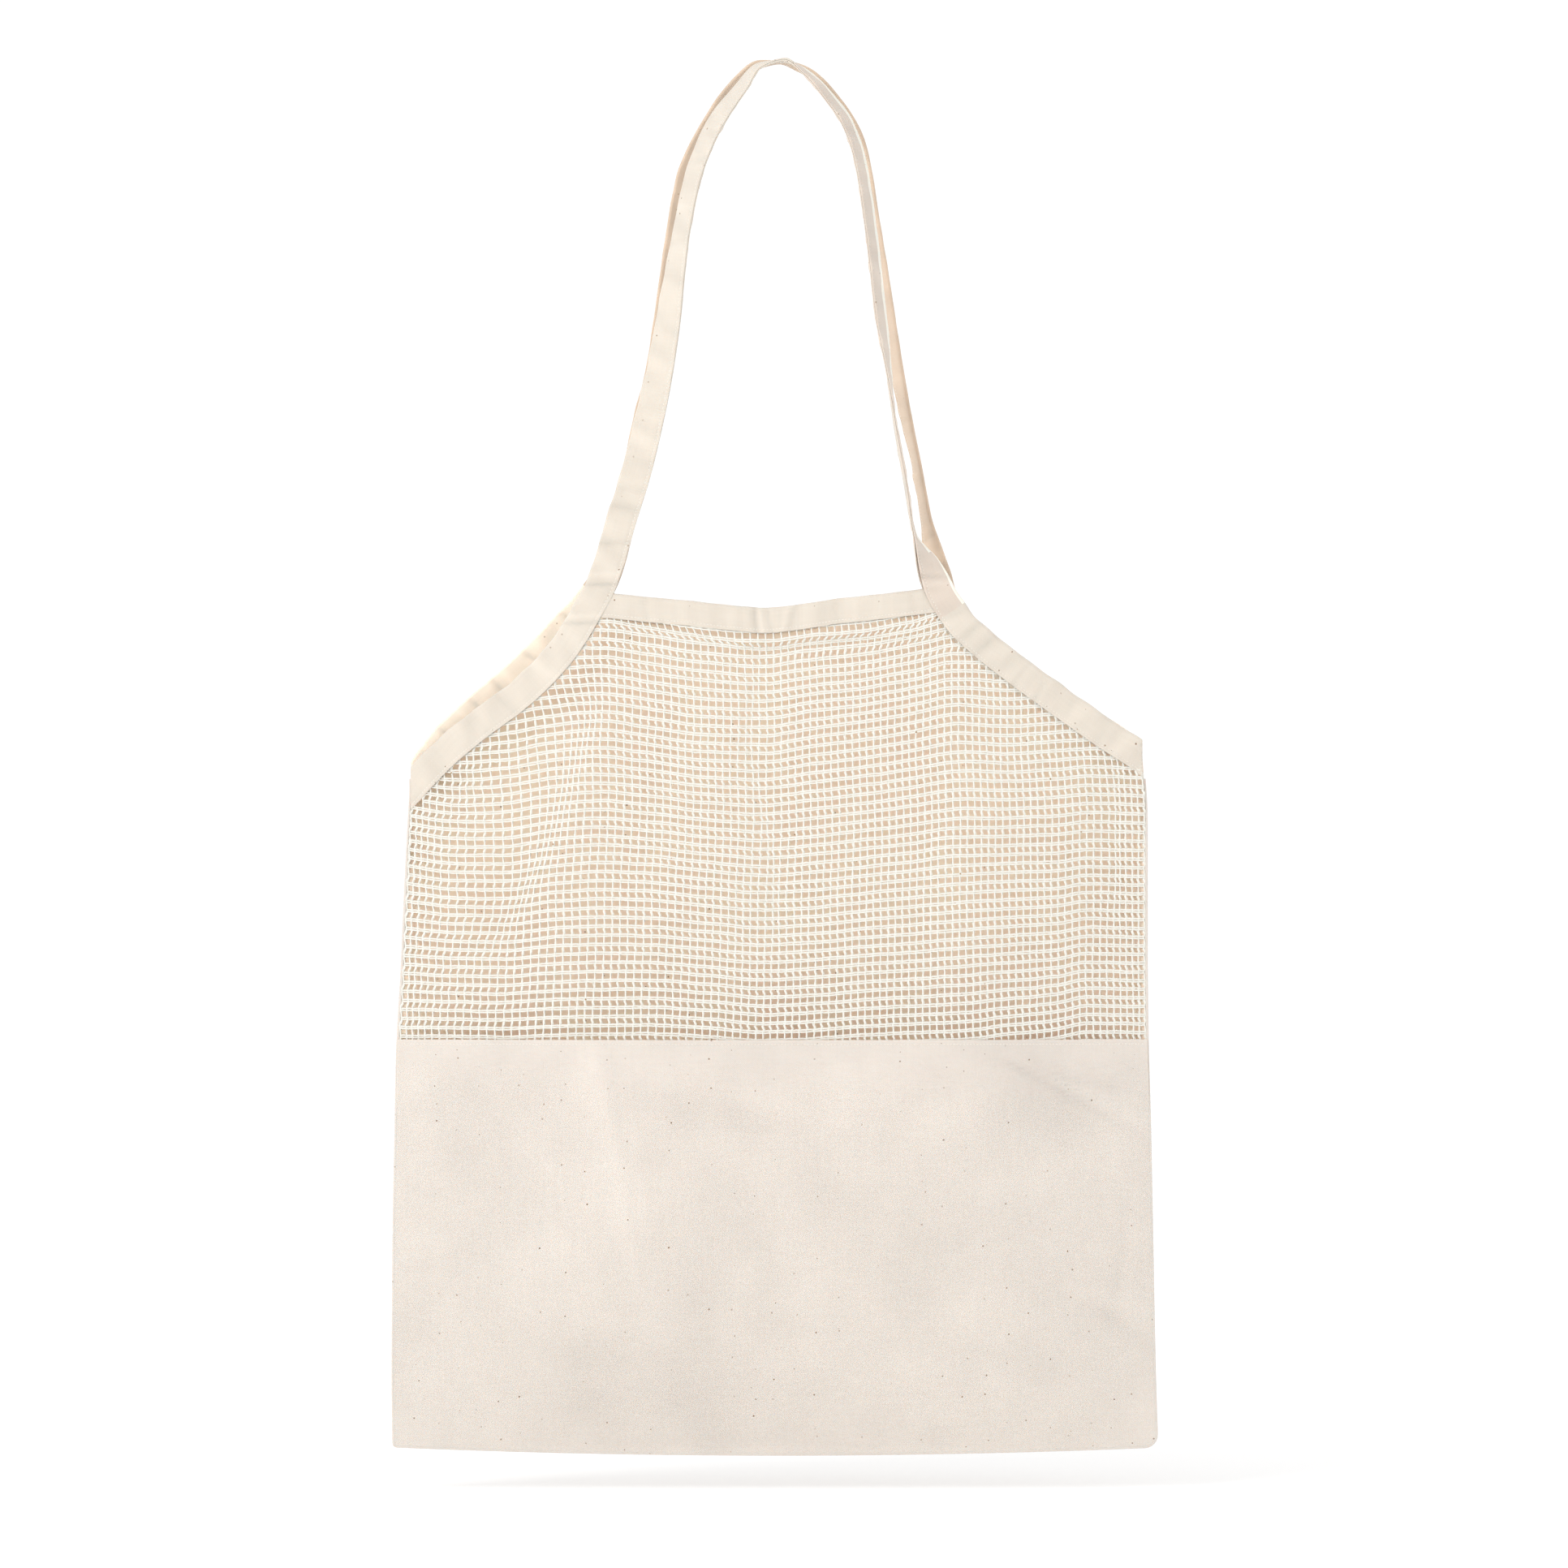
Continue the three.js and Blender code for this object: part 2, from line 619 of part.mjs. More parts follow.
// The plain cloth overlaps the net at its upper hem and lies flush with it further down
function hemStandOff(z) {
  const standOff = netThickness / 2 + clearance + clothThickness / 2;
  return standOff * (1 - ease((seamZ - seamLap - clearance - z) / (4 * seamLap)));
}

const cream = new THREE.Color().setRGB(0.93, 0.89, 0.85, THREE.SRGBColorSpace);
const pale = new THREE.Color().setRGB(0.96, 0.95, 0.90, THREE.SRGBColorSpace);
const cloth = () => new THREE.MeshStandardMaterial({ color: cream, roughness: 0.95, metalness: 0 });
const net = () => new THREE.MeshStandardMaterial({ color: pale, roughness: 0.95, metalness: 0 });
const tape = () => new THREE.MeshStandardMaterial({ color: cream, roughness: 0.9, metalness: 0 });

const bag = new THREE.Group();

function add(name, geometry, material) {
  const mesh = new THREE.Mesh(geometry, material);
  mesh.name = name;
  bag.add(mesh);
}

add('front_net_panel', panelGeometry(front, netRows, netThickness), net());
add('front_cloth_panel', panelGeometry(front, lowerRows, clothThickness, hemStandOff), cloth());
add('back_cloth_panel', panelGeometry(back, backRows, clothThickness), cloth());
add('front_mouth_binding', toGeometry(mouthBinding(front)), tape());
add('back_mouth_binding', toGeometry(mouthBinding(back)), tape());
add('front_handle_tape', toGeometry(handleTape(front)), tape());
add('back_handle_tape', toGeometry(handleTape(back)), tape());

export default bag;
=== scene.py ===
import math
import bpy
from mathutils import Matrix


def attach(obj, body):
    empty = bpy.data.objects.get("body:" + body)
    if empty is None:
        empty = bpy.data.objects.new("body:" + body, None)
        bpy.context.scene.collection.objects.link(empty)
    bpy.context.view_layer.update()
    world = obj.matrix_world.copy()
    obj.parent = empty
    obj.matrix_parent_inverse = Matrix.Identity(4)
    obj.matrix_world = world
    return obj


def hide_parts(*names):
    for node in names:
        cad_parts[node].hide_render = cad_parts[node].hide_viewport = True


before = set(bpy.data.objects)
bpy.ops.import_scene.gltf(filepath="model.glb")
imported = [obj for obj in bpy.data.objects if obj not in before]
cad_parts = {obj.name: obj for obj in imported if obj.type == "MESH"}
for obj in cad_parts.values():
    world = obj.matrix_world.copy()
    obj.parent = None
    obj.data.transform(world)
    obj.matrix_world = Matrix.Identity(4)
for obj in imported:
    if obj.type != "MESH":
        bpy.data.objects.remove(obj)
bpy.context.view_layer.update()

from types import SimpleNamespace

import bpy
import numpy as np

mm = 0.001


# Stage: a wide pale floor under the hanging bag, a little darker round its middle as a painted
# shadow, and a white room with one soft lamp.
# The camera looks straight at the front from six metres away, with a long lens.
floor_z = -712 * mm
floor_size = 80
floor_shadow_tint, floor_far = (0.965, 0.965, 0.966, 1), (0.99, 0.99, 0.99, 1)
camera_place = (3.2 * mm, -6.0, -359.6 * mm)
camera_lens = 276
camera_reach = 200
room_light = 1.06
lamp_power = 84
lamp_size = 2.2
lamp_place = (-2.6, -3.9, 1.1)
lamp_aim = (0.0, 0.0, -0.45)

scene = bpy.context.scene
scene.view_settings.view_transform = "Standard"
scene.view_settings.look = "None"

bpy.ops.object.camera_add(location=camera_place, rotation=(math.pi / 2, 0, 0))
camera = bpy.context.object
camera.data.lens = camera_lens
camera.data.sensor_width = 36
camera.data.clip_end = camera_reach
scene.camera = camera

bpy.ops.object.light_add(type="AREA", location=lamp_place)
lamp = bpy.context.object
lamp.data.shape = "DISK"
lamp.data.size = lamp_size
lamp.data.energy = lamp_power
aim = np.array(lamp_aim) - lamp_place
lamp.rotation_euler = (
    math.acos(-aim[2] / np.linalg.norm(aim)), 0, math.atan2(aim[1], aim[0]) - math.pi / 2,
)

room = bpy.data.worlds.new("white_room")
room.use_nodes = True
room_paint = room.node_tree.nodes["Background"].inputs
room_paint["Color"].default_value = (1, 1, 1, 1)
room_paint["Strength"].default_value = room_light
scene.world = room


def new_paint(name):
    """A new material, with ways to set its surface and to add nodes, sums, ramps and mixes."""
    material = bpy.data.materials.new(name)
    material.use_nodes = True
    tree = material.node_tree

    def feed(node, inputs):
        for socket, value in inputs.items():
            if isinstance(value, bpy.types.NodeSocket):
                tree.links.new(value, node.inputs[socket])
            else:
                node.inputs[socket].default_value = value

    def add(kind, inputs, **settings):
        node = tree.nodes.new("ShaderNode" + kind)
        for setting, value in settings.items():
            setattr(node, setting, value)
        feed(node, inputs)
        return node.outputs

    def calc(kind, *values):
        return add("Math", dict(enumerate(values)), operation=kind)[0]

    def ramp(value, stops, interpolation="LINEAR"):
        colour = add("ValToRGB", {"Fac": value})["Color"]
        shades = colour.node.color_ramp
        shades.interpolation = interpolation
        for shade, (place, tint) in zip(shades.elements, stops):
            shade.position, shade.color = place, tint
        return colour

    def mix(share, first, second, blend="MIX"):
        inputs = {"Factor": share, "A": first, "B": second}
        return add("Mix", inputs, data_type="RGBA", blend_type=blend)["Result"]

    def surface(inputs):
        feed(tree.nodes["Principled BSDF"], inputs)

    return SimpleNamespace(
        material=material, surface=surface, add=add, calc=calc, ramp=ramp, mix=mix,
    )


bpy.ops.mesh.primitive_plane_add(size=floor_size, location=(0, 0, floor_z))
floor = bpy.context.object
floor.name = "floor"
floor_paint = new_paint("floor_paint")
# The floor is painted a little darker round its middle, under the bag: a painted shadow.
from_middle = floor_paint.add(
    "TexGradient", {"Vector": floor_paint.add("TexCoord", {})["Object"]}, gradient_type="SPHERICAL",
)["Fac"]
floor_paint.surface({
    "Base Color": floor_paint.ramp(from_middle, ((0, floor_far), (1, floor_shadow_tint)), "EASE"),
    "Roughness": 1.0, "Specular IOR Level": 0.0,
})
floor.data.materials.append(floor_paint.material)


# Back wall: one plain unbleached cotton cloth from the mouth to the bottom seam, cut with two
# sloping shoulders. Its raw edges lie inside the shoulder tape and the mouth hem, and its sides
# and bottom are sewn to the front. It hangs in soft folds. Sizes are those of the solid it covers.
mouth_z = -262 * mm
bottom_z = -690 * mm
body_height = mouth_z - bottom_z
bottom_width = 380 * mm
corner_width = 366 * mm
belly_depth = 18 * mm
belly_squareness = 2.2
fold_depth = 4 * mm
mouth_sag = 9 * mm
mouth_sag_reach = 92 * mm
bottom_sag = 4 * mm
lower_height = 203 * mm
handle_drop = 262 * mm
handle_spread = 168 * mm
tape_width = 15 * mm
strap_solid = 2 * mm
shoulder_drop = {"left": 102 * mm, "right": 82 * mm}
bottom_radius = {"left": 1.5 * mm, "right": 6 * mm}
hand_sign = {"left": -1, "right": 1}
cloth_thickness = 0.6 * mm
cloth_reach = 5.5 * mm
corner_round = 6 * mm


def ease(t):
    t = np.clip(t, 0, 1)
    return t * t * (3 - 2 * t)


def smooth_through(xs, ys):
    """A smooth curve through points that never swings past them."""
    xs, ys = np.array(xs, float), np.array(ys, float)
    gaps = np.diff(xs)
    slopes = np.diff(ys) / gaps
    tangents = np.append(slopes, slopes[-1])
    before, after, near, far = slopes[:-1], slopes[1:], gaps[:-1], gaps[1:]
    same_way = before * after > 0
    first, second = np.where(same_way, before, 1), np.where(same_way, after, 1)
    weights = 2 * far + near, far + 2 * near
    mean = (weights[0] + weights[1]) / (weights[0] / first + weights[1] / second)
    tangents[1:-1] = np.where(same_way, mean, 0)

    def curve(x):
        at = np.clip(x, xs[0], xs[-1])
        i = np.clip(np.searchsorted(xs, at) - 1, 0, len(xs) - 2)
        t = (at - xs[i]) / gaps[i]
        return (
            ys[i] * (1 + 2 * t) * (1 - t) ** 2 + gaps[i] * tangents[i] * t * (1 - t) ** 2
            + ys[i + 1] * t * t * (3 - 2 * t) + gaps[i] * tangents[i + 1] * t * t * (t - 1)
        )

    return curve


# How far each side has spread from the corner width (0) to the bottom width (1).
side_down = (0.00, 0.10, 0.28, 0.40, 0.52, 0.66, 0.90, 1.00)
spread = {
    "left": smooth_through(side_down, (0.00, 0.26, 0.65, 0.95, 1.06, 1.19, 1.27, 1.21)),
    "right": smooth_through(side_down, (-0.14, 0.13, 0.13, 0.19, 0.35, 0.49, 0.73, 0.89)),
}

# How far the walls stand apart down the body, as shares of the belly depth.
belly_down = (0.00, 0.20, 0.45, 0.70, 0.88, 0.96, 1.00)


def side_x(hand, z):
    """Half width of the flat outline, with the bottom corner rounded."""
    corner_z = mouth_z - shoulder_drop[hand]
    down = np.clip((corner_z - z) / (corner_z - bottom_z), 0, 1)
    half = (corner_width + (bottom_width - corner_width) * spread[hand](down)) / 2
    radius = bottom_radius[hand]
    above = np.clip(z - bottom_z, 0, radius)
    return half - (radius - np.sqrt(radius**2 - (radius - above) ** 2))


def half_width(x, z):
    return np.where(x < 0, side_x("left", z), side_x("right", z))


def folds_at(folds, x, z):
    """Soft folds. Rows are across, lean, top, bottom, width and depth, as shares."""
    down = (mouth_z - z) / body_height
    total = np.zeros(np.broadcast(x, z).shape)
    for across, lean, top, bottom, width, depth in folds:
        along = (down - top) / (bottom - top)
        line = (across + lean * along) * bottom_width / 2
        off = (x - line) / (width * bottom_width / 2)
        swell = np.sin(np.pi * np.clip(along, 0, 1)) ** 0.7
        total = total + fold_depth * depth * swell * np.exp(-off * off)
    return total


def creases_at(creases, x, z):
    """Small creases. Rows are from x, from z, to x, to z, half width and height, in mm."""
    total = np.zeros(np.broadcast(x, z).shape)
    for x0, z0, x1, z1, width, height in creases:
        run_x, run_z = (x1 - x0) * mm, (z1 - z0) * mm
        length = math.hypot(run_x, run_z)
        along = ((x - x0 * mm) * run_x + (z - z0 * mm) * run_z) / length**2
        off = ((x - x0 * mm) * run_z - (z - z0 * mm) * run_x) / length
        beyond = np.clip(np.abs(along - 0.5) - 0.3, 0, None) * length / (0.25 * length + width * mm)
        total = total + height * mm * np.exp(-(off / (width * mm)) ** 2 - beyond**2)
    return total


def seam_gap(wall, x, z):
    """Distance of a wall from the bag's middle plane where its edge is sewn."""
    rightward = ease(0.5 + x / handle_spread)
    drop = shoulder_drop["left"] + (shoulder_drop["right"] - shoulder_drop["left"]) * rightward
    tape_end_z = mouth_z - drop - tape_width
    plain = ease((tape_end_z - z) / (2 * tape_width))
    return wall.bound_gap + (wall.plain_gap - wall.bound_gap) * plain


def wall_depth(wall, x, z):
    """Distance of a wall's middle surface from the bag's middle plane."""
    across = np.clip(np.abs(x) / half_width(x, z), 0, 1)
    down = np.clip((mouth_z - z) / body_height, 0, 1)
    belly = belly_depth * wall.profile(down) * (1 - across**belly_squareness)
    fade = ease((1 - across) * 5) * ease((1 - down) * 10)
    return seam_gap(wall, x, z) + np.maximum(belly + folds_at(wall.folds, x, z) * fade, 0)


def droop(x, z):
    """The mouth and the bottom hang lower in the middle, and so does the cloth near them."""
    mouth_across = np.clip(np.abs(x) / (handle_spread / 2), 0, 1)
    bottom_across = np.clip(np.abs(x) / (bottom_width / 2), 0, 1)
    from_mouth = np.clip((mouth_z - z) / mouth_sag_reach, 0, 1)
    from_bottom = np.clip((z - bottom_z) / lower_height, 0, 1)
    return (
        mouth_sag * (1 - mouth_across**1.4) * (1 - from_mouth) ** 1.5
        + bottom_sag * (1 - bottom_across**2) * ease(1 - from_bottom)
    )


def handle_end(wall, hand):
    row = wall.handle[0 if hand == "left" else -1]
    return row[0] * handle_spread / 2, strap_solid / 2 - row[1] * handle_drop


def shoulder_point(wall, hand, out):
    """A point on the middle line of the shoulder tape, out from the mouth to the side."""
    start_x, start_z = handle_end(wall, hand)
    down = wall.shoulder[hand](out) + np.maximum(0, out - 1)
    end_x = hand_sign[hand] * corner_width / 2
    return start_x + (end_x - start_x) * out, start_z - shoulder_drop[hand] * down


def shoulder_line(wall, hand, reach):
    """How far out a line beside the shoulder tape's middle lies, as a function of height."""
    out = np.linspace(-0.12, 1.12, 41)
    x, z = shoulder_point(wall, hand, out)
    next_x, next_z = shoulder_point(wall, hand, out + 0.01)
    run = np.hypot(next_x - x, next_z - z)
    sign = hand_sign[hand]
    line_x = x - sign * reach * (next_z - z) / run
    line_z = z + sign * reach * (next_x - x) / run
    line_x, line_z = np.abs(line_x)[::-1], line_z[::-1]
    rising = np.concatenate([[True], np.diff(line_z) > 0.01 * mm])
    curve = smooth_through(line_z[rising], line_x[rising])
    return lambda height: np.minimum(curve(height), side_x(hand, height))


shoulder_out = (0.00, 0.07, 0.19, 0.39, 0.64, 0.83, 1.00)
back = SimpleNamespace(
    facing=1,
    panel="back_cloth_panel",
    plain_gap=0.35 * mm,
    bound_gap=1.9 * mm,
    profile=smooth_through(belly_down, (0.60, 0.76, 0.92, 0.90, 0.62, 0.30, 0.00)),
    folds=(
        (-0.30, 0.10, 0.05, 0.70, 0.16, 0.50),
        (0.38, -0.12, 0.10, 0.85, 0.18, 0.60),
        (0.02, 0.05, 0.30, 0.92, 0.14, -0.50),
    ),
    shoulder={
        "left": smooth_through(shoulder_out, (0.000, 0.095, 0.216, 0.412, 0.616, 0.785, 1.000)),
        "right": smooth_through(shoulder_out, (0.000, 0.150, 0.310, 0.500, 0.712, 0.862, 1.000)),
    },
    # across and down as shares of half the spread and of the drop, depth, turn in degrees
    handle=(
        (-1.040, 0.990, 1.00, 0), (-0.928, 0.869, 1.00, 8), (-0.839, 0.776, 1.00, 20),
        (-0.788, 0.683, 1.00, 35), (-0.723, 0.590, 1.00, 45), (-0.680, 0.498, 0.95, 48),
        (-0.598, 0.312, 0.86, 50), (-0.545, 0.220, 0.78, 52), (-0.410, 0.122, 0.70, 60),
        (-0.231, 0.037, 0.66, 70), (-0.110, 0.004, 0.65, 80), (0.020, 0.000, 0.64, 90),
        (0.155, 0.014, 0.65, 80), (0.340, 0.072, 0.68, 72), (0.486, 0.156, 0.73, 68),
        (0.570, 0.312, 0.82, 64), (0.616, 0.405, 0.88, 62), (0.712, 0.590, 0.96, 66),
        (0.769, 0.683, 0.99, 70), (0.833, 0.776, 1.00, 74), (0.883, 0.869, 1.00, 70),
        (0.912, 0.915, 1.00, 56), (0.940, 0.962, 1.00, 30), (0.978, 1.016, 1.00, 4),
    ),
)
back_creases = (
    (-120, -430, -60, -610, 9, 0.9), (90, -350, 60, -560, 11, 1.0),
    (-20, -640, 120, -600, 8, -0.7), (-150, -560, -90, -660, 7, 0.6),
    (130, -640, 170, -560, 7, -0.6), (-40, -300, -70, -420, 8, 0.8),
)


def summed(steps):
    """Running totals of steps, from 0."""
    return np.concatenate([[0], np.cumsum(steps)])


def unit(vectors):
    return vectors / np.linalg.norm(vectors, axis=-1, keepdims=True)


def pick_out(piece):
    """Make a piece the one that Blender's tools work on."""
    bpy.ops.object.select_all(action="DESELECT")
    piece.select_set(True)
    bpy.context.view_layer.objects.active = piece


def make_piece(name, points, faces, materials, slots=None, uv=None, creased=None, smooth_angle=50):
    """An object at the origin from arrays of points and of faces of each size."""
    mesh = bpy.data.meshes.new(name)
    mesh.vertices.add(len(points))
    mesh.vertices.foreach_set("co", np.asarray(points, np.float32).ravel())
    corners = np.concatenate([face.ravel() for face in faces])
    sizes = np.concatenate([np.full(len(face), face.shape[1]) for face in faces])
    mesh.loops.add(len(corners))
    mesh.loops.foreach_set("vertex_index", corners.astype(np.int32))
    mesh.polygons.add(len(sizes))
    mesh.polygons.foreach_set("loop_start", summed(sizes)[:-1].astype(np.int32))
    if slots is not None:
        mesh.polygons.foreach_set("material_index", np.asarray(slots, np.int32))
    if uv is not None:
        layer = mesh.uv_layers.new(name="Cloth")
        layer.data.foreach_set("uv", np.asarray(uv, np.float32).ravel())
    # A per-point crease shade, which the cloth paint turns into painted shade and painted
    # highlight.
    if creased is not None:
        layer = mesh.attributes.new("CreaseShade", "FLOAT", "POINT")
        layer.data.foreach_set("value", np.asarray(creased, np.float32).ravel())
    mesh.update(calc_edges=True)
    for material in materials:
        mesh.materials.append(material)
    piece = bpy.data.objects.new(name, mesh)
    scene.collection.objects.link(piece)
    pick_out(piece)
    bpy.ops.object.shade_smooth_by_angle(angle=math.radians(smooth_angle))
    return piece


def cloth_from_grid(name, middle, thickness, facing, creased):
    """A closed cloth round a grid of points on its middle surface. Its inside has its own warmer,
    lighter tint: painted warm shade.
    """
    normal = unit(np.cross(np.gradient(middle, axis=1), np.gradient(middle, axis=0)))
    normal *= np.sign(normal[..., 1:2]) * facing
    rows, columns = middle.shape[:2]
    half = np.broadcast_to(thickness, (rows, columns))[..., None] / 2
    points = np.concatenate([(middle + side * half * normal).reshape(-1, 3) for side in (1, -1)])
    behind = rows * columns
    index = np.arange(behind).reshape(rows, columns)
    quads = np.stack([index[:-1, :-1], index[:-1, 1:], index[1:, 1:], index[1:, :-1]], -1)
    quads = quads.reshape(-1, 4)
    rim = np.concatenate([index[0, :], index[1:, -1], index[-1, -2::-1], index[-2:0:-1, 0]])
    around = np.roll(rim, -1)
    walls = np.stack([rim, around, around + behind, rim + behind], -1)
    faces = [quads[:, ::facing], quads[:, ::-facing] + behind, walls[:, ::-facing]]
    slots = np.repeat([0, 1, 0], [len(face) for face in faces])
    creased = np.tile(creased.ravel(), 2)
    return make_piece(name, points, faces, [calico, calico_inside_painted_shade], slots, creased=creased)


def rumpled(seed, x, z, length, count):
    """Soft wrinkles of one handling: a sum of short waves at chance places and angles."""
    order = np.random.default_rng(seed)
    total = np.zeros(np.shape(x))
    for _ in range(count):
        at_x, at_z = order.uniform(-0.2, 0.2), order.uniform(bottom_z, mouth_z)
        angle, wave = order.uniform(0, math.pi), length * order.uniform(0.6, 1.8)
        off = ((x - at_x) * math.cos(angle) + (z - at_z) * math.sin(angle)) / wave
        run = ((z - at_z) * math.cos(angle) - (x - at_x) * math.sin(angle)) / (2.6 * wave)
        total = total + order.choice((-1, 1)) * np.exp(-off * off - run * run)
    return total


def cotton_cloth(name, tint, weave_bump, light_through, bands=0.0):
    """Plain weave cotton with slubs, soft mottling, brown seed flecks and painted crease shade.

    Strips of it have painted shade bands across them, for the shading of soft puckers, and their
    weave runs along them.
    """
    paint = new_paint(name)
    add, calc = paint.add, paint.calc
    if bands:
        place = add("UVMap", {}, uv_map="Cloth")["UV"]
        long_way, along_axis = "Y", (1, 0.04, 1)
    else:
        place = add("TexCoord", {})["Object"]
        long_way, along_axis = "Z", (1, 1, 0.04)
    across_axis = (0.04, 1, 1)
    shade_band_axis = (0.12, 1, 1)
    thread_turn = 2 * math.pi / (1.0 * mm)
    apart = add("SeparateXYZ", {0: place})
    crosswise, lengthwise = apart["X"], apart[long_way]

    def noise(scale, detail=2.0, stretch=(1, 1, 1)):
        stretched = add("Mapping", {"Vector": place, "Scale": stretch})[0]
        return add("TexNoise", {"Vector": stretched, "Scale": scale, "Detail": detail})["Fac"]

    sway = calc("MULTIPLY", noise(160), 1.6)
    ways = crosswise, lengthwise
    waves = (calc("SINE", calc("MULTIPLY_ADD", way, thread_turn, sway)) for way in ways)
    weave = calc("MULTIPLY", *waves)
    slubs = calc("ADD", noise(900, 2, along_axis), noise(1000, 2, across_axis))
    mottle, blotch = noise(45, 3), noise(11)
    creased = add("Attribute", {}, attribute_name="CreaseShade")["Fac"]
    # each pattern with its middle and how much it lightens the tint
    patterns = [(slubs, 1.0, 0.06), (mottle, 0.5, 0.10), (blotch, 0.5, 0.05), (weave, 0.0, 0.012)]
    # Strips get noise bands of tone across them: painted shade, standing for the shading of soft
    # puckers.
    if bands:
        patterns.append((noise(75, 1, shade_band_axis), 0.5, bands))
    # Painted shade in crease and pucker valleys, painted highlight on their ridges.
    patterns.append((creased, 0.0, 0.12))
    tone = 1.0
    for pattern, middle, share in patterns:
        tone = calc("MULTIPLY_ADD", calc("SUBTRACT", pattern, middle), share, tone)
    clean = paint.mix(1, (*tint, 1), tone, "MULTIPLY")

    flat = add("CombineXYZ", {"X": crosswise, "Y": lengthwise})[0]
    flecks = add("TexVoronoi", {"Vector": flat, "Scale": 95}, voronoi_dimensions="2D")
    chosen = add("SeparateColor", {0: flecks["Color"]})
    rare = calc("GREATER_THAN", chosen[0], 0.72)
    size = calc("MULTIPLY_ADD", chosen[1], 0.025, 0.035)
    ragged = calc("MULTIPLY_ADD", noise(1500, 1), 0.03, flecks["Distance"])
    strength = calc("MULTIPLY_ADD", chosen[2], 0.6, 0.3)
    fleck = calc("MULTIPLY", calc("MULTIPLY", calc("LESS_THAN", ragged, size), rare), strength)

    height = calc("MULTIPLY_ADD", weave, 0.5, calc("MULTIPLY", slubs, 0.8))
    height = calc("MULTIPLY_ADD", mottle, 1.2, height)
    paint.surface({
        "Base Color": paint.mix(fleck, clean, (0.20, 0.11, 0.05, 1)),
        "Normal": add("Bump", {"Height": height, "Strength": weave_bump, "Distance": 0.3 * mm})[0],
        "Roughness": 0.92,
        "Specular IOR Level": 0.2,
        "Sheen Weight": 0.12,
        "Sheen Roughness": 0.6,
        "Subsurface Weight": light_through,
        "Subsurface Radius": (1.0, 0.75, 0.6),
        "Subsurface Scale": 1.0 * mm,
    })
    return paint.material


calico = cotton_cloth("calico", (0.655, 0.600, 0.545), 0.25, 0.45)
# The inside faces take a warmer, lighter tint: painted warm shade of the bag's interior.
calico_inside_painted_shade = cotton_cloth("calico_inside_painted_shade", (0.95, 0.785, 0.665), 0.15, 0.45)


def panel_grid(edges, levels, columns):
    """Points across a wall at each level, from its left edge to its right edge."""
    share = np.linspace(0, 1, columns + 1)
    left, right = -edges["left"](levels), edges["right"](levels)
    x = left[:, None] + (right - left)[:, None] * share
    level = np.broadcast_to(levels[:, None], x.shape)
    return x, level - droop(x, level)


# Levels closer together round the bottom, where the two walls meet.
round_levels = bottom_z + corner_round * np.array([0.72, 0.48, 0.28, 0.12, 0.03, 0])


def levels_down(top, count):
    return np.concatenate([np.linspace(top, bottom_z + corner_round, count), round_levels])


back_edges = {hand: shoulder_line(back, hand, cloth_reach) for hand in hand_sign}
back_x, back_zs = panel_grid(back_edges, levels_down(mouth_z - cloth_reach, 166), 148)
back_tape = {hand: shoulder_line(back, hand, -tape_width / 2) for hand in hand_sign}
from_tape = np.minimum(back_x + back_tape["left"](back_zs), back_tape["right"](back_zs) - back_x)
back_fade = ease((from_tape - 1 * mm) / (16 * mm))
back_fade = back_fade * ease((mouth_z - 16 * mm - back_zs) / (20 * mm))
back_fade = back_fade * ease((back_zs - bottom_z) / (20 * mm))
back_creased = creases_at(back_creases, back_x, back_zs) / mm * back_fade
back_rumpled = rumpled(5, back_x, back_zs, 16 * mm, 70) * back_fade
back_depth = wall_depth(back, back_x, back_zs) + (back_creased + 0.5 * back_rumpled) * mm
# The creases and wrinkles also tint the cloth: painted shade in their valleys, painted highlight on
# their ridges.
back_wall = cloth_from_grid(
    "back_wall", np.stack([back_x, back_depth, back_zs], -1), cloth_thickness, back.facing,
    0.15 * back_creased + 0.16 * back_rumpled,
)
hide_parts("back_cloth_panel")
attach(back_wall, "root")


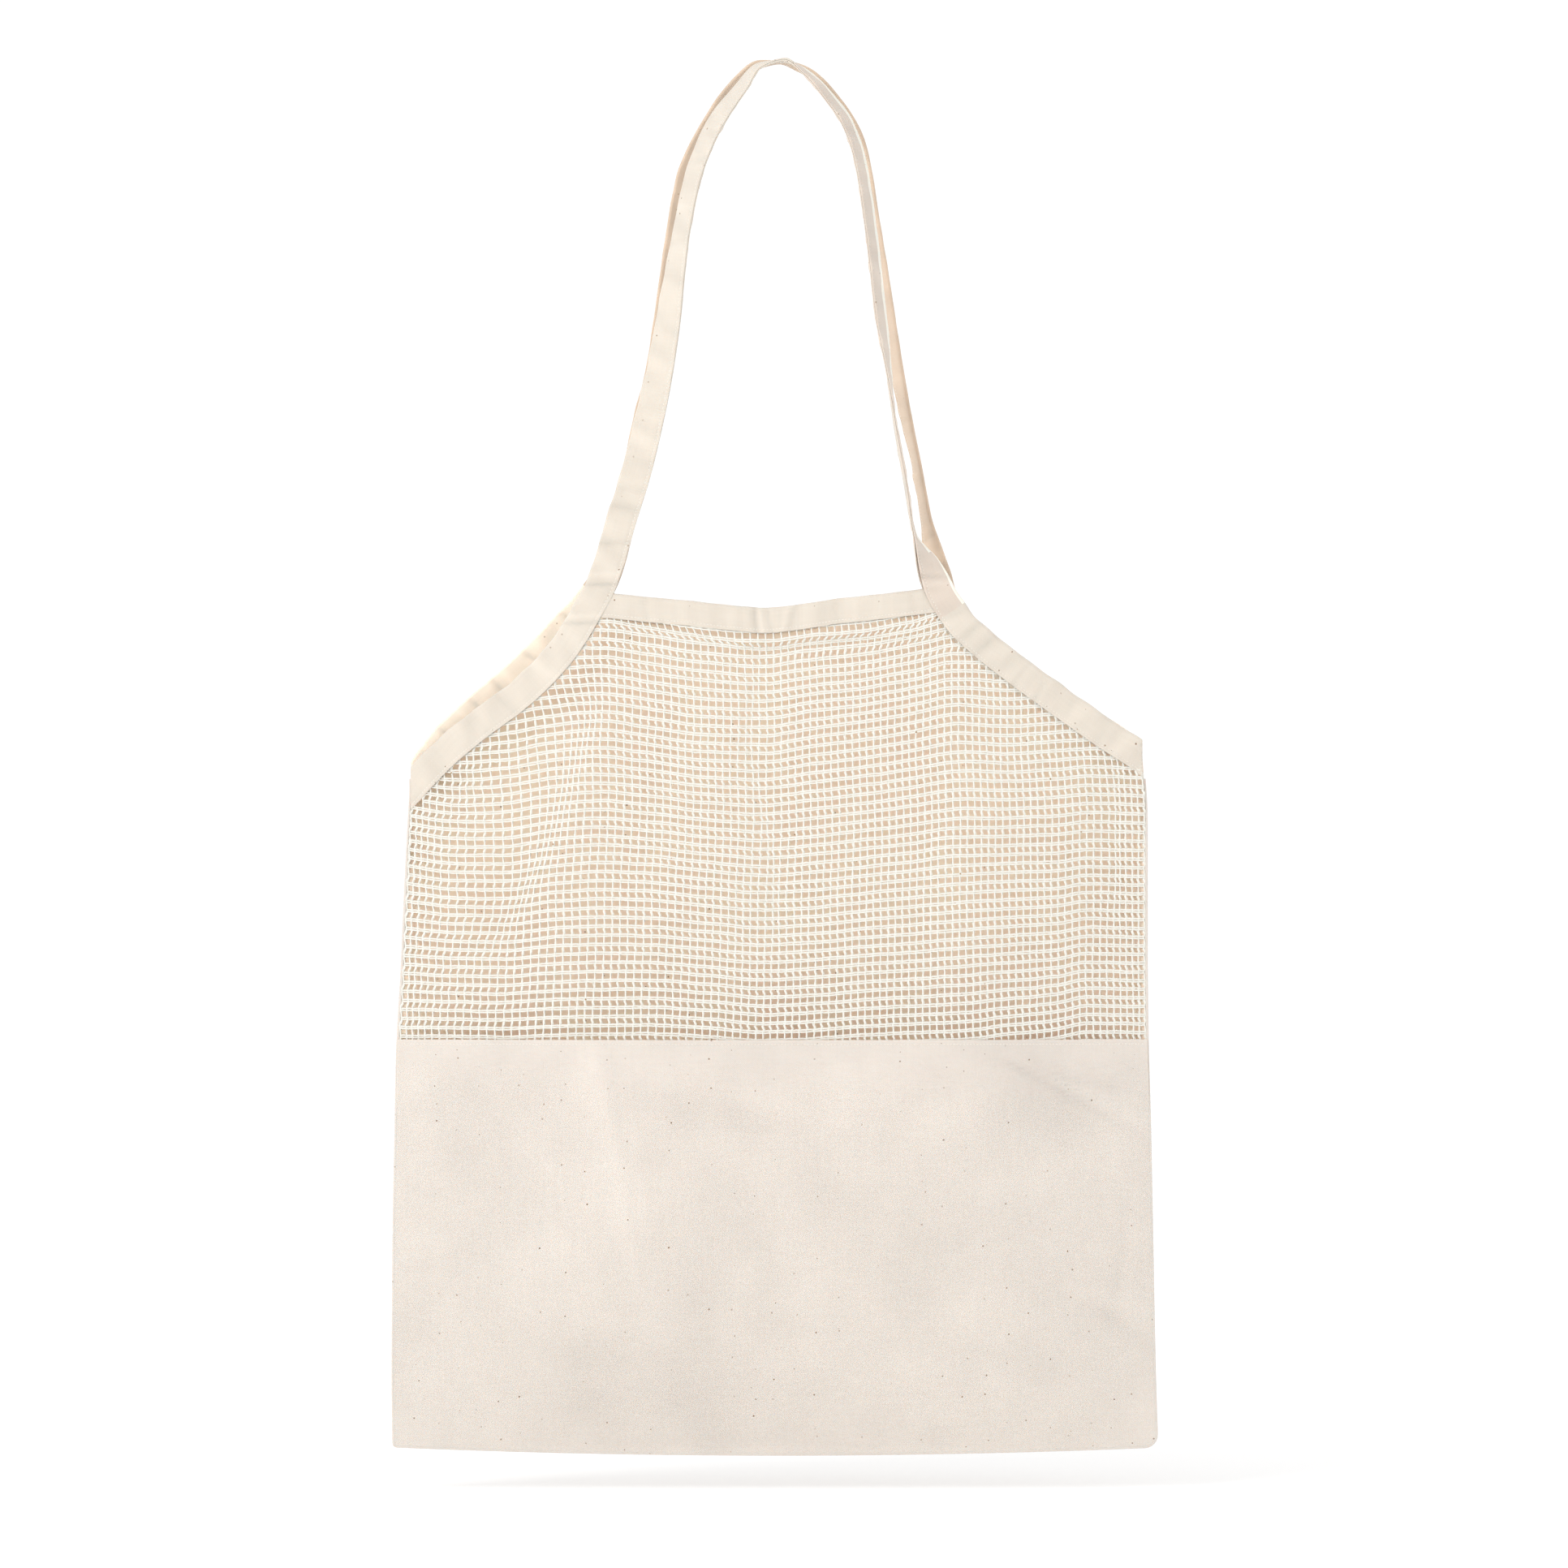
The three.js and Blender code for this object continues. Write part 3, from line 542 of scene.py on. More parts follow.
# Front lower half: plain cotton like the back, its top edge turned over to the outside of the net
# and stitched down. It is sewn to the back along the sides and the bottom.
seam_z = bottom_z + lower_height
hem_lap = 9 * mm
stand_off = 1.45 * mm
stitch_pitch = 1.65 * mm
stitch_length = 1.2 * mm
stitch_width = 0.46 * mm
stitch_height = 0.8 * stitch_width
front = SimpleNamespace(
    facing=-1,
    panel="front_net_panel",
    plain_gap=0.45 * mm,
    bound_gap=1.9 * mm,
    profile=smooth_through(belly_down, (0.62, 0.80, 1.00, 0.95, 0.64, 0.30, 0.00)),
    folds=(
        (-0.47, -0.16, 0.03, 0.62, 0.10, 0.75),
        (0.47, 0.03, 0.03, 0.58, 0.11, 0.70),
        (-0.05, 0.05, 0.02, 0.55, 0.09, -0.55),
        (-0.72, 0.06, 0.22, 0.60, 0.08, -0.60),
        (0.86, 0.03, 0.20, 0.50, 0.07, -0.55),
        (-0.43, 0.10, 0.52, 0.90, 0.16, 0.45),
        (0.72, 0.20, 0.52, 0.78, 0.18, -0.50),
        (0.05, -0.20, 0.55, 0.85, 0.20, -0.40),
    ),
    shoulder={
        "left": smooth_through(shoulder_out, (0.000, 0.126, 0.308, 0.511, 0.688, 0.836, 1.000)),
        "right": smooth_through(shoulder_out, (0.000, 0.140, 0.287, 0.480, 0.702, 0.866, 1.000)),
    },
    handle=(
        (-1.044, 0.995, 1.00, 0), (-0.921, 0.869, 1.02, 2), (-0.832, 0.776, 1.04, 5),
        (-0.762, 0.683, 1.04, 12), (-0.699, 0.590, 1.02, 26), (-0.651, 0.498, 1.00, 34),
        (-0.610, 0.405, 0.93, 47), (-0.562, 0.312, 0.84, 56), (-0.500, 0.220, 0.76, 56),
        (-0.383, 0.127, 0.68, 56), (-0.212, 0.050, 0.65, 66), (-0.108, 0.010, 0.63, 78),
        (0.040, 0.000, 0.62, 90), (0.163, 0.022, 0.63, 78), (0.316, 0.074, 0.66, 70),
        (0.405, 0.114, 0.69, 68), (0.480, 0.178, 0.73, 68), (0.555, 0.325, 0.80, 68),
        (0.610, 0.479, 0.88, 68), (0.658, 0.590, 0.93, 80), (0.694, 0.683, 0.96, 89),
        (0.762, 0.807, 0.98, 90), (0.810, 0.900, 1.00, 84), (0.849, 0.931, 1.00, 66),
        (0.897, 0.962, 1.00, 38), (0.975, 1.016, 1.00, 4),
    ),
)
lower_creases = (
    (-92, -489, -76, -560, 9, 1.2), (-76, -540, -62, -630, 7, 1.0),
    (-84, -489, -66, -600, 3.5, -0.9), (100, -489, 187, -530, 2.2, 1.3),
    (104, -491, 187, -540, 2.4, -1.2), (112, -499, 185, -515, 2.2, -0.9),
    (-24, -524, -4, -531, 6, -1.3), (-10, -516, 6, -522, 6, 0.8), (163, -624, 184, -640, 4, -1.5),
    (150, -612, 186, -622, 5, 1.0), (-186, -560, -170, -566, 3, -0.9),
    (-188, -602, -172, -600, 3, -0.8), (-150, -640, -60, -650, 9, -1.0),
    (60, -640, 150, -652, 9, -0.9), (20, -560, 80, -590, 9, -0.7),
    (176, -560, 168, -620, 3, -0.9), (-150, -512, -120, -560, 8, -0.8),
)


def lap_stand_off(z):
    """The cloth lies over the net at its top hem and comes back to the wall further down."""
    return stand_off * (1 - ease((seam_z - hem_lap - z) / (32 * mm)))


def inside_seams(x, z):
    """1 over most of the front's width, falling to 0 at the side seams."""
    return ease((1 - np.abs(x) / half_width(x, z)) * 8)


top_edge = np.array([0.0, 0.25, 0.8, 1.6]) * mm
lower_levels = np.concatenate([seam_z - top_edge, levels_down(seam_z - 2.4 * mm, 84)])
straight_sides = {hand: lambda z, hand=hand: side_x(hand, z) for hand in hand_sign}
lower_x, lower_zs = panel_grid(straight_sides, lower_levels, 150)
lower_fade = inside_seams(lower_x, lower_zs)
lower_creased = creases_at(lower_creases, lower_x, lower_zs)
lower_rumpled = rumpled(8, lower_x, lower_zs, 15 * mm, 90)
from_edges = np.minimum(seam_z - hem_lap - lower_zs, lower_zs - bottom_z)
lower_depth = wall_depth(front, lower_x, lower_zs) + lap_stand_off(lower_zs)
lower_depth = lower_depth + lower_creased * lower_fade
lower_depth = lower_depth + 0.7 * mm * lower_rumpled * lower_fade * ease(from_edges / (16 * mm))
from_top = (seam_z - lower_levels)[:, None]
hem_round = np.sqrt(np.clip(1 - (1 - np.clip(from_top / (0.8 * mm), 0, 1)) ** 2, 0.04, 1))
hem_double = 1 - ease((from_top - hem_lap) / (1.5 * mm))
# The creases and wrinkles also tint the cloth: painted shade in their valleys, painted highlight on
# their ridges.
lower_cloth = cloth_from_grid(
    "lower_cloth", np.stack([lower_x, -lower_depth, lower_zs], -1),
    cloth_thickness * (1 + 0.7 * hem_double) * hem_round, front.facing,
    0.22 * lower_creased / mm + 0.20 * lower_rumpled,
)
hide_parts("front_cloth_panel")
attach(lower_cloth, "root")

thread = new_paint("sewing_thread")
thread.surface({"Base Color": (0.78, 0.72, 0.64, 1), "Roughness": 0.75, "Sheen Weight": 0.2})

# One stitch is a closed bead along x, one unit long and one unit across.
bead_turn = np.arange(6) * math.pi / 3
bead_rings = [(math.cos(lean) / 2, math.sin(lean) / 2) for lean in np.radians([45, 90, 135])]
stitch_points = np.array([
    (0.5, 0, 0),
    *((x, r * math.cos(turn), r * math.sin(turn)) for x, r in bead_rings for turn in bead_turn),
    (-0.5, 0, 0),
])
ring = np.arange(1, 7)
beside = np.roll(ring, -1)
tips = (0, ring, beside), (19, beside + 12, ring + 12)
bands = [(ring + k, ring + k + 6, beside + k + 6, beside + k) for k in (0, 6)]
stitch_faces = [
    np.concatenate([np.stack(np.broadcast_arrays(*corners), -1) for corners in faces])
    for faces in (tips, bands)
]


def row_of_stitches(name, centres, along, out):
    """A run of stitches. Each lies along the seam and is half sunk in the cloth."""
    along, out = unit(along), unit(out)
    ways = along, unit(np.cross(out, along)), out
    local = stitch_points * np.array([stitch_length, stitch_width, stitch_height])
    points = centres[:, None]
    for k, way in enumerate(ways):
        points = points + local[None, :, k, None] * way[:, None]
    offsets = np.arange(len(centres))[:, None, None] * len(stitch_points)
    faces = [(corners + offsets).reshape(-1, corners.shape[1]) for corners in stitch_faces]
    stitches = make_piece(name, points.reshape(-1, 3), faces, [thread.material])
    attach(stitches, "root")
    return stitches


hem_x = np.arange(-186 * mm, 182 * mm, stitch_pitch)
hem_level = np.full_like(hem_x, seam_z - 2.2 * mm)
hem_z = hem_level - droop(hem_x, hem_level)
hem_depth = wall_depth(front, hem_x, hem_z) + (stand_off + 0.55 * mm)
hem_line = np.stack([hem_x, -hem_depth, hem_z], -1)
hem_along = unit(np.gradient(hem_line, axis=0))
hem_out = unit(np.cross(hem_along, np.array([0, 0, 1.0])))
hem_out *= -np.sign(hem_out[:, 1:2])
hem_line[:, 1] -= creases_at(lower_creases, hem_x, hem_level) * inside_seams(hem_x, hem_level)
lower_stitches = row_of_stitches("lower_hem_stitches", hem_line, hem_along, hem_out)


# Side and bottom seams: the two walls are sewn together inside out and turned, which leaves a
# narrow rolled edge of the same cotton down both sides and along the bottom.
seam_roll = 0.85 * mm
seam_sides = 8


def path_length(path):
    return summed(np.linalg.norm(np.diff(path, axis=0), axis=1))


def skin(girth, along, start=0):
    """Faces between rings of points, the two ends, and where each corner lies on the cloth."""
    count, sides = len(girth), girth.shape[1] - 1
    index = start + np.arange(count * sides).reshape(count, sides)
    beside = np.roll(index, -1, axis=1)
    quads = np.stack([index[:-1], beside[:-1], beside[1:], index[1:]], -1).reshape(-1, 4)
    near, far, at = girth[:, :-1], girth[:, 1:], np.broadcast_to(along[:, None], (count, sides))
    corners = (near[:-1], at[:-1]), (far[:-1], at[:-1]), (far[1:], at[1:]), (near[1:], at[1:])
    uv = np.stack([np.stack(corner, -1) for corner in corners], -2).reshape(-1, 2)
    return quads, np.array([index[0, ::-1], index[-1]]), uv


def closed_piece(name, points, quads, ends, uv, materials, **more):
    """A piece that is closed all round, with its faces turned outwards."""
    a, b, c, d = (points[quads[:, k]] for k in range(4))
    if (a * np.cross(b, c)).sum() + (a * np.cross(c, d)).sum() < 0:
        quads, ends = quads[:, ::-1], ends[:, ::-1]
        uv = uv.reshape(-1, 4, 2)[:, ::-1].reshape(-1, 2)
    uv = np.concatenate([uv, np.zeros((ends.size, 2))])
    return make_piece(name, points, [quads, ends], materials, uv=uv, **more)


def tube_piece(name, paths, radii, sides, material):
    """Round closed rods along lists of points."""
    points, skins, start = [], [], 0
    turn = (np.arange(sides) * 2 * math.pi / sides)[None, :, None]
    for path, radius in zip(paths, radii):
        tangent = unit(np.gradient(path, axis=0))
        side = unit(np.cross(tangent, np.array([0, 1.0, 0])))
        through = np.cross(side, tangent)
        reach = np.broadcast_to(radius, len(path))[:, None, None]
        spokes = np.cos(turn) * side[:, None] + np.sin(turn) * through[:, None]
        points.append((path[:, None] + reach * spokes).reshape(-1, 3))
        girth = np.broadcast_to(np.arange(sides + 1) / sides, (len(path), sides + 1))
        skins.append(skin(girth, path_length(path), start))
        start += len(path) * sides
    quads, ends, uv = (np.concatenate(part) for part in zip(*skins))
    points = np.concatenate(points)
    return closed_piece(name, points, quads, ends, uv, [material], smooth_angle=60)


down = np.concatenate([np.linspace(mouth_z - 95 * mm, bottom_z + 7 * mm, 110), round_levels[:-1]])
across_x = np.linspace(-side_x("left", bottom_z), side_x("right", bottom_z), 130)
roll_x = np.concatenate([-side_x("left", down), across_x, side_x("right", down[::-1])])
roll_z = np.concatenate([down, np.full(130, bottom_z), down[::-1]])
roll_z = roll_z - droop(roll_x, roll_z)
seam_path = np.stack([roll_x, np.zeros_like(roll_x), roll_z], -1)
seams = tube_piece("rolled_seams", [seam_path], [seam_roll], seam_sides, calico)
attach(seams, "root")


# Upper front: an open leno net. Each row is two smooth soft yarns side by side. Each column is two
# finer yarns, one before and one behind the rows, that cross in every second row. The net hangs in
# waves between the ends of the handles, and its edges are caught in the tape, hem and seams.
net_columns = 102
row_pitch = 4.336 * mm
row_one_z = -288 * mm
first_row, last_row = -2, 52
row_yarn = 0.45 * mm
column_yarn = 0.41 * mm
row_pair_apart = (0.42 * mm, 0.54 * mm)
column_pair_apart = 0.24 * mm
column_depth = 0.30 * mm
column_behind = 0.45 * mm
column_lean = (-0.08 * mm, 0.48 * mm)
yarn_sides = 5
stations = 3

# How far the rows rise above their height at the middle of the bag, in mm, at four heights.
lift_x = (-186, -161, -137, -113, -88, -64, -36, -7, 17, 41, 66, 90, 114, 139, 155, 180)
lift_levels = (-283, -335, -406, -483)
lift_rows = (
    (8, 8, 9, 10, 10, 6.8, 2.4, 0, 2.8, 4.9, 9.5, 14.5, 14.5, 15, 15, 15),
    (3, -1, 1, 5.3, 7.5, 4.3, 0.6, 0, 4, 6.9, 11, 15.6, 14, 15.8, 16.6, 15.8),
    (4.9, 1.6, 1.2, 4.5, 6.3, 5.3, 2.4, 0, 1.4, 4, 6.5, 9.5, 10.3, 11, 13, 12.2),
    (2, 2, 1.6, 2.8, 3.2, 3.6, 2.2, 0, 1, 2.8, 4, 4.9, 7.5, 10, 13, 12.5),
)
lift_curves = [smooth_through(lift_x, row) for row in lift_rows]

# Where the columns crowd together, as the net turns away from the eye, and how far beside that
# they stand wider apart instead. x and z in mm down the middle of the fold, half width, how much
# closer, the length over which it starts and ends, and the step and dip in depth across it.
net_folds = (
    SimpleNamespace(
        x=(-88, -94, -104, -117, -131, -141), z=(-300, -329, -361, -398, -424, -450),
        width=5.5, closer=0.62, fade=34, slack_off=-26, slack=24, step=2.4, dip=0.0,
    ),
    SimpleNamespace(
        x=(-150, -159), z=(-334, -380), width=4.0, closer=0.4, fade=20, slack_off=0, slack=15,
        step=0.0, dip=-0.9,
    ),
    SimpleNamespace(
        x=(170, 170), z=(-335, -435), width=2.4, closer=0.65, fade=26, slack_off=-3, slack=10,
        step=0.8, dip=-0.6,
    ),
    SimpleNamespace(
        x=(-7, -15, -2, 0), z=(-286, -337, -397, -445), width=1.8, closer=0.55, fade=26,
        slack_off=0, slack=8, step=0.0, dip=-0.8,
    ),
)


def row_lift(x, level):
    at = np.interp(-level / mm, [-z for z in lift_levels], range(len(lift_levels)))
    return sum(
        curve(x / mm) * np.clip(1 - np.abs(at - i), 0, 1) for i, curve in enumerate(lift_curves)
    ) * mm


def fold_share(fold, x, z, width):
    middle = np.interp(-z, [-v * mm for v in fold.z], [v * mm for v in fold.x])
    top, bottom, fade = fold.z[0] * mm, fold.z[-1] * mm, fold.fade * mm
    return (x - middle) / width, ease((top - z) / fade) * ease((z - bottom) / fade)


def column_density(x, z):
    from_left = np.clip(x + side_x("left", z), 0, None)
    from_right = np.clip(side_x("right", z) - x, 0, None)
    total = np.interp(x / mm, (-190, -150, -95, -60, 0, 180), (0.92, 0.90, 0.92, 0.95, 1.02, 1.06))
    total = total + 0.5 * np.exp(-from_left / (12 * mm)) + 0.3 * np.exp(-from_right / (9 * mm))
    for fold in net_folds:
        off, ends = fold_share(fold, x, z, fold.width * mm)
        slack = (off * fold.width - fold.slack_off) / fold.slack
        eased = fold.width / fold.slack * np.exp(-slack * slack)
        total = total + fold.closer * ends * (np.exp(-off * off) - eased)
    return np.maximum(total, 0.4)


# How the columns lean in every second space between rows, 1 down to the right: below and at the
# mouth hem.
lean_x = (-190, -150, -115, -80, -12, 2, 60, 180)
lean_below = (-0.7, -0.6, 0.3, 0.9, 1.0, 1.0, 0.6, 0.9)
lean_at_hem = (0.8, 0.8, 1.2, 1.7, 1.5, -1.5, -1.6, -0.8)


def lean_share(x, z):
    below, at_hem = (np.interp(x / mm, lean_x, values) for values in (lean_below, lean_at_hem))
    return below + (at_hem - below) * ease((z / mm + 314) / 38)


tape_inside = {hand: shoulder_line(front, hand, -tape_width / 2) for hand in hand_sign}
net_reach = {hand: shoulder_line(front, hand, 3.5 * mm) for hand in hand_sign}
mouth_hem_height = 12.6 * mm

# The net folds over itself just under the mouth hem. x and z of the fold in mm, and how far the
# columns are drawn aside between the fold and the hem.
hem_fold_x = (-86, -60, -38, -7, 27, 60, 80)
hem_fold_z = (-280, -283.5, -286.5, -293, -289, -286.5, -283)
hem_fold_draw = (-1.0, -3.6, -4.0, -0.6, 1.8, 2.2, 0.6)
hem_fold_depth = (0.1, 0.5, 0.8, 1.0, 1.0, 0.8, 0.3)


def hem_fold_at(x, z):
    """How far the fold moves the net across, up and outwards."""
    tables = hem_fold_z, hem_fold_draw, hem_fold_depth
    line, draw, depth = (np.interp(x / mm, hem_fold_x, values) for values in tables)
    off = (z / mm - line) / 4.5
    ridge, groove = np.exp(-((off - 1.0) / 0.7) ** 2), 1.8 * np.exp(-((off / 0.55) ** 2))
    across = draw * ease((off + 0.8) / 2.2) * mm
    closer = -1.3 * depth * off * np.exp(-off * off) * mm
    return across, closer, depth * (ridge - groove) * mm


def net_relief(x, z):
    """The net's own folds, which die out where its edges are held."""
    held = np.minimum(
        np.minimum(x + tape_inside["left"](z), tape_inside["right"](z) - x),
        np.minimum(mouth_z - mouth_hem_height - mouth_sag * 0.8 - z, z - seam_z),
    )
    total = np.zeros(np.shape(x))
    for fold in net_folds:
        off, ends = fold_share(fold, x, z, 2 * fold.width * mm)
        total = total + ends * mm * np.exp(-off * off) * (fold.step * off + fold.dip)
    return total * ease(held / (14 * mm))


chance = np.random.default_rng(11)


def uneven(shape, amount):
    """Small smooth unevenness from crossing to crossing."""
    raw = chance.normal(0, 1, shape)
    for axis in (0, 1):
        raw = (np.roll(raw, 1, axis) + 2 * raw + np.roll(raw, -1, axis)) / 4
    return raw * amount / 0.375


row_numbers = np.arange(first_row, last_row + 1)
scan = np.linspace(-1, 1, 801)
node_x = np.empty((len(row_numbers), net_columns))
node_z = np.empty_like(node_x)
for i, row in enumerate(row_numbers):
    level = row_one_z - (row - 1) * row_pitch
    start_z = level + row_lift(np.array([-186.0, 180.0]) * mm, level)
    left, right = -side_x("left", start_z[0]) + 0.9 * mm, side_x("right", start_z[1]) - 0.9 * mm
    x = left + (right - left) * (scan + 1) / 2
    z = level + row_lift(x, level)
    counted = summed(column_density(x, z)[1:])
    node_x[i] = np.interp(np.linspace(0, counted[-1], net_columns), counted, x)
    node_z[i] = level + row_lift(node_x[i], level)
loose = np.ones(net_columns)
loose[[0, -1]] = 0
node_x += uneven(node_x.shape, 0.12 * mm) * loose
node_z += uneven(node_z.shape, 0.10 * mm)
across, closer, outward = hem_fold_at(node_x, node_z)
node_depth = wall_depth(front, node_x, np.minimum(node_z, mouth_z)) + net_relief(node_x, node_z)
node_depth = node_depth + outward
node_x, node_z = node_x + across, node_z + closer
nodes_at = np.stack([node_x, -node_depth, node_z], -1)

top_limit = mouth_z - 6.5 * mm - droop(node_x, np.full_like(node_x, mouth_z - 6.5 * mm))
tape_end_z = mouth_z - 4 * mm - np.where(node_x < 0, shoulder_drop["left"], shoulder_drop["right"])
in_net = (
    (node_z < top_limit)
    & ((node_z < tape_end_z) | (np.abs(node_x) < half_width(node_x, node_z) - 4.5 * mm))
    & (node_z > seam_z - hem_lap + 1.5 * mm)
    & (node_x > -net_reach["left"](node_z) - 0.3 * mm)
    & (node_x < net_reach["right"](node_z) + 0.3 * mm)
)


def between(values, at):
    low = np.clip(np.floor(at).astype(int), 0, len(values) - 2)
    share = (at - low)[:, None]
    return values[low] * (1 - share) + values[low + 1] * share


def longest_run(flags):
    """First and last index of the longest unbroken run."""
    edges = np.flatnonzero(np.diff(np.concatenate([[0], flags.astype(int), [0]])))
    runs = list(zip(edges[::2], edges[1::2] - 1))
    return max(runs, key=lambda run: run[1] - run[0]) if runs else (0, 0)


def row_yarns(rows):
    """The two yarns of each row, above and below its crossings."""
    paths, radii = [], []
    for i in rows:
        first, last = longest_run(in_net[i])
        if last - first < 3:
            continue
        at = np.arange(first * stations, last * stations + 1) / stations
        line = between(nodes_at[i], at)
        way = unit(np.gradient(line, axis=0))
        up = np.stack([-way[:, 2], np.zeros(len(way)), way[:, 0]], -1)
        swell = np.sin(np.pi * (at % 1))
        apart = row_pair_apart[0] + (row_pair_apart[1] - row_pair_apart[0]) * swell
        for side in (1, -1):
            wander = chance.normal(0, 0.05, len(at)) * mm
            paths.append(line + up * (side * apart + wander)[:, None])
            radii.append(row_yarn * (1 + chance.normal(0, 0.06, len(at))))
    return paths, radii


def column_yarns(from_row, to_row):
    """The pair of each column. Which yarn is in front changes in the rows without a crossing."""
    paths, radii = [], []
    for c in range(net_columns):
        first, last = longest_run(in_net[:, c])
        low = max(first * stations, from_row * stations - 1)
        high = min(last * stations, to_row * stations - 1)
        if high - low < 2:
            continue
        at = np.arange(low, high + 1) / stations
        line = between(nodes_at[:, c], at)
        leaning = np.choose(np.floor(at).astype(int) % 2, column_lean)
        lean = leaning * np.sin(2 * np.pi * (at % 1)) * lean_share(line[:, 0], line[:, 2])
        for lag in (0, 2):
            phase = (at + lag) % 4
            turned = np.cos(np.pi * (phase % 1))
            stage = np.floor(phase).astype(int)
            sideways = np.choose(stage, [-turned, 1, turned, -1])
            forward = np.choose(stage, [1, turned, -1, -turned])
            wander = chance.normal(0, 0.04, len(at)) * mm
            moved = line.copy()
            moved[:, 0] += column_pair_apart * sideways - lean + wander
            moved[:, 1] += column_behind * np.cos(np.pi * at) ** 2 - column_depth * forward
            paths.append(moved)
            radii.append(column_yarn * (1 + chance.normal(0, 0.07, len(at))))
    return paths, radii


yarn = new_paint("soft_net_yarn")
yarn_place = yarn.add("TexCoord", {})["Object"]
yarn_patch = yarn.add("TexNoise", {"Vector": yarn_place, "Scale": 260, "Detail": 3})["Fac"]
yarn_shades = (0.25, (0.73, 0.71, 0.645, 1)), (0.75, (0.775, 0.766, 0.715, 1))
yarn_seeds = yarn.add("TexVoronoi", {"Vector": yarn_place, "Scale": 75})["Distance"]
yarn_apart = yarn.add("SeparateXYZ", {0: yarn.add("UVMap", {}, uv_map="Cloth")[0]})
yarn_turn = yarn.calc("MULTIPLY_ADD", yarn_apart["Y"], 1 / (0.9 * mm), yarn_apart["X"])
yarn_twist = yarn.calc("PINGPONG", yarn_turn, 0.5)
yarn.surface({
    "Base Color": yarn.mix(
        yarn.calc("LESS_THAN", yarn_seeds, 0.035), yarn.ramp(yarn_patch, yarn_shades),
        (0.35, 0.22, 0.10, 1),
    ),
    "Normal": yarn.add("Bump", {"Height": yarn_twist, "Strength": 0.35, "Distance": 0.2 * mm})[0],
    "Roughness": 0.9,
    "Specular IOR Level": 0.2,
    "Sheen Weight": 0.25,
    "Sheen Roughness": 0.5,
})

band_rows = (0, 16, 28, 40, len(row_numbers))
band_names = ("net_upper", "net_upper_middle", "net_lower_middle", "net_lower")
for name, start, end in zip(band_names, band_rows, band_rows[1:]):
    rows = row_yarns(range(start, end))
    columns = column_yarns(start, min(end, len(row_numbers) - 1))
    paths, radii = (rows[k] + columns[k] for k in (0, 1))
    band = tube_piece(name, paths, radii, yarn_sides, yarn.material)
    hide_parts("front_net_panel")
    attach(band, "root")
    inside = in_net[start:end + 1]
    inside = inside[:-1, :-1] & inside[1:, :-1] & inside[:-1, 1:] & inside[1:, 1:]


# Mouth hems: a strip of cotton folded over the top edge of each wall, between the handles, and
# sewn through with one line of stitches just above its lower edge.
strip_wall = 0.8 * mm
front_caught, back_caught = 1.8 * mm, 0.7 * mm
stitch_inset = 1.7 * mm
face_steps = np.array([0.25, 0.8, 1.3, 1.7, 2.1, 2.9, 4.2, 5.6, 7.0, 8.4, 9.8, 11.0]) * mm


def ripples(seed, along, pitch, count):
    """Uneven puckers along a strip, as a smooth function of the length."""
    order = np.random.default_rng(seed)
    total = np.zeros(np.shape(along))
    for _ in range(count):
        turns = 2 * math.pi / (pitch * order.uniform(0.6, 2.2))
        total = total + order.normal() * np.sin(turns * along + order.uniform(0, 6.3))
    return total / math.sqrt(count)


